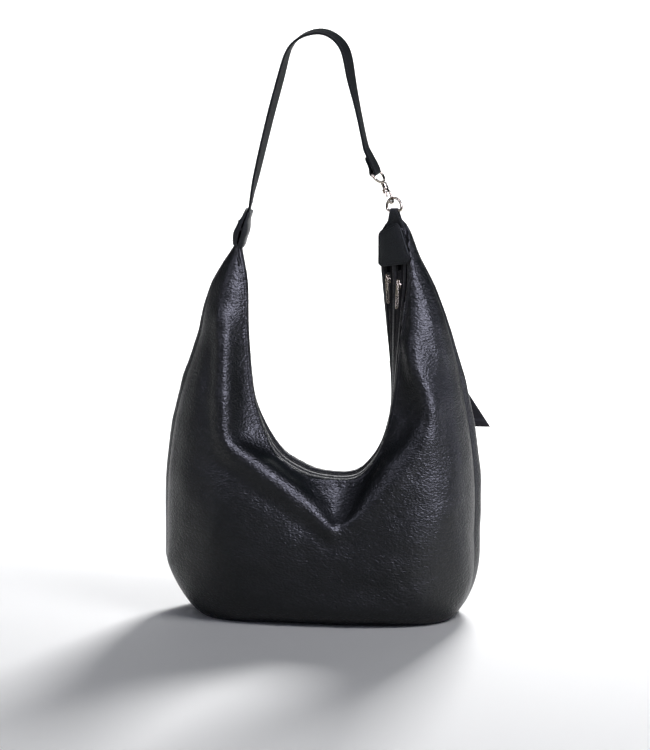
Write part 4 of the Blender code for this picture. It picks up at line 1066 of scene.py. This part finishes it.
barrel_profile = [(0.01, 2.5), (2.2, 2.5), (2.3, 2.6), (2.3, BARREL - 1.8), (1.5, BARREL - 1.8),
                  (1.5, BARREL - 0.1), (1.7, BARREL), (3.0, BARREL), (3.5, BARREL - 0.25),
                  (3.8, BARREL - 0.9), (3.55, BARREL - 1.7), (3.55, 2.2), (3.8, 1.6), (3.8, 1.0),
                  (3.4, 0.2), (3.0, 0.0), (0.01, 0.0)]
barrel = turned(barrel_profile, barrel_place)
bend_start = JAW_LENGTH - 4.9
sweep = np.radians(np.arange(0, 173, 8))
jaw_route = [(-0.8, 1.4), (0.8, 4.2), (3.2, JAW_HALF), (6.6, JAW_HALF)]
jaw_route += [(bend_start + JAW_HALF * math.sin(a), JAW_HALF * math.cos(a)) for a in sweep]
jaw_path = np.array([clasp_point(a, b) for a, b in jaw_route])
jaw_path = spline(jaw_path, np.linspace(0, len(jaw_path) - 1, JAW_ROWS))
jaw_radii = WIRE * (1.15 + 0.12 * np.sin(np.linspace(0, math.pi, JAW_ROWS)))
jaw_radii = jaw_radii * np.sqrt(np.clip((np.arange(JAW_ROWS)[::-1] + 0.4) / 4, 0, 1))
jaw = skin_of(ring_grid(jaw_path, jaw_radii, jaw_face, 16))
ear_shape = round_outline([(-2.6, -2.8), (2.6, -2.8), (2.6, 2.8), (-2.6, 2.8)], 1.3)
ears = [plate([ear_shape], 0.9, 0.25, frame_at(clasp_point(1.0, -2.8, out), clasp_axis, jaw_face))
        for out in (-2.75, 2.75)]
bridge_shape = round_outline([(-1.2, -1.7), (1.2, -1.7), (1.2, 1.7), (-1.2, 1.7)], 0.4)
bridge = plate([bridge_shape], 6.2, 0.3, frame_at(clasp_point(-0.9, -1.4), clasp_axis, jaw_face))
assembled("clasp_hook_cast", [barrel, jaw, *ears, bridge], nickel, "clasp", "nickel",
          ["clasp_hook"])

hinge = clasp_point(2.6, -4.4)
hinge_place = frame_at(hinge, clasp_axis, jaw_face)
gate_shape = round_outline([(-1.3, 0.6), (-0.7, 1.25), (0.7, 1.25), (5.0, -0.2), (6.1, -0.6),
                            (6.1, -2.2), (5.2, -2.6), (-0.6, -1.25), (-1.3, -0.6)], 0.3, 4)
hole_turn = np.radians(np.arange(0, 360, 20))
gate_hole = 0.75 * np.stack([np.cos(hole_turn), np.sin(hole_turn)], axis=1)
gate = plate([gate_shape, gate_hole], 1.6, 0.25, hinge_place)
assembled("clasp_gate_cast", [gate], nickel, "gate", "nickel", ["clasp_gate"])
pin_profile = [(0.01, -2.4), (0.5, -2.35), (0.6, -2.1), (0.6, 2.1), (0.5, 2.35), (0.01, 2.4)]
assembled("gate_pin_rivet", [turned(pin_profile, hinge_place, 18)], nickel, "clasp", "nickel",
          ["gate_pin"])
coil_turns = np.radians(np.arange(0, 3 * 360 + 1, 15))
coil_turns = coil_turns[:, None]
coil_path = (hinge + clasp_axis * np.cos(coil_turns) + jaw_side * np.sin(coil_turns)
             + jaw_face * (1.05 + 0.75 * coil_turns / coil_turns[-1]))

# Spring steel wire, drawn and left bright.
spring_wire = plated("drawn_spring_wire", "a8a8ab", 0.26)
assembled("gate_spring_wire", [skin_of(ring_grid(coil_path, 0.12, jaw_face, 8))], spring_wire,
          "clasp", "nickel", ["gate_spring"])


# ==== Shoulder strap: two plies of smooth leather with painted edges
# One strap, sewn into the collar on the left horn and folded back round the swivel
# eye at its other end, with a row of stitches near each edge.

STRAP_WIDTH, STRAP_THICK, STRAP_ROWS = 28.0, 2.8, 420
STRAP_PATH = [
    ((-91.0, 0, 470), 2), ((-86.5, 0, 489), 3), ((-83, 0, 507), 0), ((-77.5, 0, 532), -7),
    ((-65.5, 0, 582), -10), ((-56.5, 0, 617), -11), ((-47.5, 0, 650), -10), ((-40, 0, 675), -5),
    ((-28, 0, 690), 1), ((-10, 0, 697.5), 6), ((6, 0, 696.5), 8), ((19, 0, 688), 12),
    ((28, 0, 673), 16), ((33, 0, 648), 15), ((38.5, 0, 622), 8), ((45, 0, 592), 4),
    ((50.5, 0, 566), 5), ((54.5, 0, 550), 9),
]
STRAP_END = np.array([62.0, 0.0, 534.0])
STRAP_RETURN = 21.0

strap_stops = np.linspace(0, len(STRAP_PATH) - 1, 260)
spine = spline([place for place, _ in STRAP_PATH], strap_stops)
lean_turn = np.radians(spline([[turn] for _, turn in STRAP_PATH], strap_stops))
run = unit(np.gradient(spine, axis=0))
level = unit(np.array([0.0, 1.0, 0.0]) - run * run[:, 1:2])
lean = np.cross(run, level)
width_line = level * np.cos(lean_turn) + lean * np.sin(lean_turn)
end_width = width_line[-1]
end_run = square_to(end_width, unit(STRAP_END - spine[-1]))
end_thick = unit(np.cross(end_run, end_width))
bend = WIRE + GAP + STRAP_THICK / 2
fold_turn = np.radians(np.linspace(0, 180, 19))
fold = [STRAP_END + end_thick * bend * math.cos(a) + end_run * bend * math.sin(a)
        for a in fold_turn]
ply_gap = STRAP_THICK + 0.5
shoulder = STRAP_END - end_run * 9.0 + end_thick * bend
back_run = np.array([1.5, 3, 5, 7, 9, 12, 15, 18, STRAP_RETURN])[:, None]
closing = np.minimum(1, back_run / 9.0)
backs = STRAP_END - end_run * back_run - end_thick * (
    bend - (2 * bend - ply_gap) * closing ** 2 * (3 - 2 * closing))
strap_line = np.vstack([spine[:-12], [shoulder], fold, backs])
strap_side = np.vstack([width_line[:-12], np.tile(end_width, (1 + len(fold) + len(backs), 1))])
lengths = run_length(strap_line)
even = np.linspace(0, lengths[-1], STRAP_ROWS)
strap_line = np.stack([np.interp(even, lengths, strap_line[:, k]) for k in range(3)], axis=1)
strap_side = unit(np.stack([np.interp(even, lengths, strap_side[:, k]) for k in range(3)], axis=1))
for _ in range(6):
    strap_line[1:-1] = (strap_line[:-2] + 2 * strap_line[1:-1] + strap_line[2:]) / 4
    strap_side[1:-1] = (strap_side[:-2] + 2 * strap_side[1:-1] + strap_side[2:]) / 4
strap_width = np.full(STRAP_ROWS, STRAP_WIDTH)
strap_width[-6:] = STRAP_WIDTH - np.array([0, 0.3, 0.8, 1.6, 2.8, 4.5])
strap_thick = np.full(STRAP_ROWS, STRAP_THICK)
strap_thick[-3:] = (2.6, 2.3, 1.8)
strap_grid, strap_side, strap_face = band(strap_line, strap_side, strap_width, strap_thick, 40)

# Strap leather: firm smooth hide with a dry matt finish, its grain 1.2 mm wide, which
# stays dark even where it is seen along its face.
# Its second colour is painted shade in the grain's crevices.
strap_leather = pebbled_leather("strap_hide", "1a1e20", "0e1012", 0.60, 0.0012, 0.00014, 0.15)


def on_strap(made):
    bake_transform(made)


strap = tube("shoulder_strap_leather", strap_grid, strap_leather)
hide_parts("shoulder_strap")
on_strap(strap)
stitched = slice(22, 392)
for name, sign, face_sign in (("strap_stitches_front_out", -1, -1),
                              ("strap_stitches_back_out", 1, -1),
                              ("strap_stitches_front_in", -1, 1),
                              ("strap_stitches_back_in", 1, 1)):
    line = (strap_line + strap_side * sign * (STRAP_WIDTH / 2 - 2.6)
            + strap_face * face_sign * (STRAP_THICK / 2 - 0.02))[stitched]
    where = even_points(line, STITCH_PITCH)
    along = unit(at(np.gradient(line, axis=0), where))
    normal = unit(at(strap_face[stitched] * face_sign, where))
    row = capsules(name, at(line, where) + normal * 0.1, along, np.cross(normal, along),
                   (STITCH_LENGTH / 2, THREAD, THREAD * 0.8), thread)
    on_strap(row)

# The eye: a wire loop through the strap's fold, brazed to the post that holds the barrel.
eye_foot = barrel_foot - clasp_axis * (BARREL + 2.0)
eye_half = end_width * (STRAP_WIDTH / 2 + 2.4)
eye_right, eye_left = STRAP_END + eye_half, STRAP_END - eye_half
eye_drop = eye_foot - STRAP_END
eye_route = [eye_foot, eye_foot + eye_half * 0.45, eye_right + eye_drop * 0.6,
             eye_right + eye_drop * 0.12, STRAP_END + eye_half * 0.88, STRAP_END + eye_half * 0.4,
             STRAP_END - eye_half * 0.4, STRAP_END - eye_half * 0.88, eye_left + eye_drop * 0.12,
             eye_left + eye_drop * 0.6, eye_foot - eye_half * 0.45, eye_foot]
eye_path = spline(eye_route, np.linspace(0, len(eye_route) - 1, 120))[:-1]
eye_up = unit(np.cross(eye_half, eye_drop))
eye_loop = skin_of(ring_grid(eye_path, 1.7, eye_up, 14, close=True), True)
eye_profile = [(0.01, 3.0), (1.7, 3.0), (1.9, 3.2), (1.9, BARREL - 2.6), (1.7, BARREL - 2.4),
               (1.1, BARREL - 2.4), (1.1, BARREL + 2.4), (0.01, BARREL + 2.6)]
assembled("swivel_eye_wire", [turned(eye_profile, barrel_place, 20), eye_loop], nickel, "strap",
          "nickel", ["swivel_eye"])


# ==== Collar on the left horn
# A wrap of smooth leather round the horn's tip and the strap's end, with a narrow
# slit down its front where its two edges meet.

# Height, centre x, half width in x, half depth in y
COLLAR = [(446, -99.4, 6.6, 14.2), (452, -98.4, 7.6, 15.2), (458, -97.0, 8.4, 16.4),
          (464, -95.2, 8.5, 17.2), (472, -92.6, 6.6, 17.6), (480, -89.6, 4.6, 17.4),
          (487, -87.2, 4.0, 17.0)]
COLLAR_WALL, SLIT = 1.6, 1.6

heights = spline(COLLAR, np.linspace(0, len(COLLAR) - 1, 44))
wrap = np.radians(np.linspace(-90 + SLIT, 270 - SLIT, 61))


def collar_wall(shrink, angles):
    """Rings of a squared oval: half widths times the signed roots of cos and sin, less
    the shrink, tilted so that the outer side is higher."""
    cx, cy = squared(np.cos(angles), 0.5)[None], squared(np.sin(angles), 0.5)[None]
    z, x, half_x, half_y = np.hsplit(heights, 4)
    crease = 0.25 * np.sin(z / 3.1 + 2.2 * cy) * np.sin(2.5 * angles)[None, :]
    return np.stack([x + (half_x - shrink + crease) * cx, (half_y - shrink) * cy,
                     z - 2.0 * cx], axis=-1)


outer, inner = collar_wall(0.0, wrap), collar_wall(COLLAR_WALL, wrap[::-1])
collar_grid = np.concatenate([outer, inner], axis=1)
collar = tube("left_collar_leather", collar_grid, smooth_leather)
rounding = collar.modifiers.new("rounding", "BEVEL")
rounding.width, rounding.segments, rounding.limit_method = 0.0005, 2, "ANGLE"
rounding.angle_limit = math.radians(50)
placed(collar, "bag", "smooth_leather", "left_collar")
for name, row in (("collar_top_stitches", 38), ("collar_foot_stitches", 5)):
    stitch_line(name, outer[row, 4:57], -normals_of(outer)[row, 4:57], "bag",
                "smooth_leather", 2.9, 2.2)


# ==== Webbing tail behind the right side
# A short end of flat webbing that hangs behind the bag, with a thick turned hem.

TAIL_HEM = np.array([176.0, 58.5, 220.0])
TAIL_SLANT, TAIL_WIDTH, TAIL_LENGTH = math.radians(33.0), 36.0, 112.0

# Polyester webbing in a heavy rib weave, its ribs drawn 1.6 mm apart.
# Its second colour is painted shade between the ribs.
webbing = woven_cloth("ribbed_webbing", "1c1c20", "0b0b0d", 0.0016, 0.62)

tail_down = np.array([math.sin(TAIL_SLANT), 0.0, -math.cos(TAIL_SLANT)])
tail_side = np.array([math.cos(TAIL_SLANT), 0.0, math.sin(TAIL_SLANT)])
tail_top = TAIL_HEM - tail_down * TAIL_LENGTH
along = np.concatenate([np.linspace(0, 0.915, 60), np.linspace(0.925, 1.0, 12)])
skew = along ** 3 * math.tan(TAIL_SLANT) * TAIL_WIDTH / 2
thick = np.where(along < 0.92, 1.5, 4.4)
thick[-1], thick[-2], thick[60] = 2.4, 3.8, 2.8
x, y = flat_ring(2.0, 2.0, 48, 0.25)
tail_grid = (tail_top + tail_down * (TAIL_LENGTH * along)[:, None, None]
             + x[None, :, None] * (tail_side * TAIL_WIDTH / 2 + tail_down * skew[:, None])[:, None]
             + y[None, :, None] * np.array([0, 1.0, 0]) * thick[:, None, None] / 2)
tail = tube("strap_tail_webbing", tail_grid, webbing)
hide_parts("strap_tail")
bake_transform(tail)
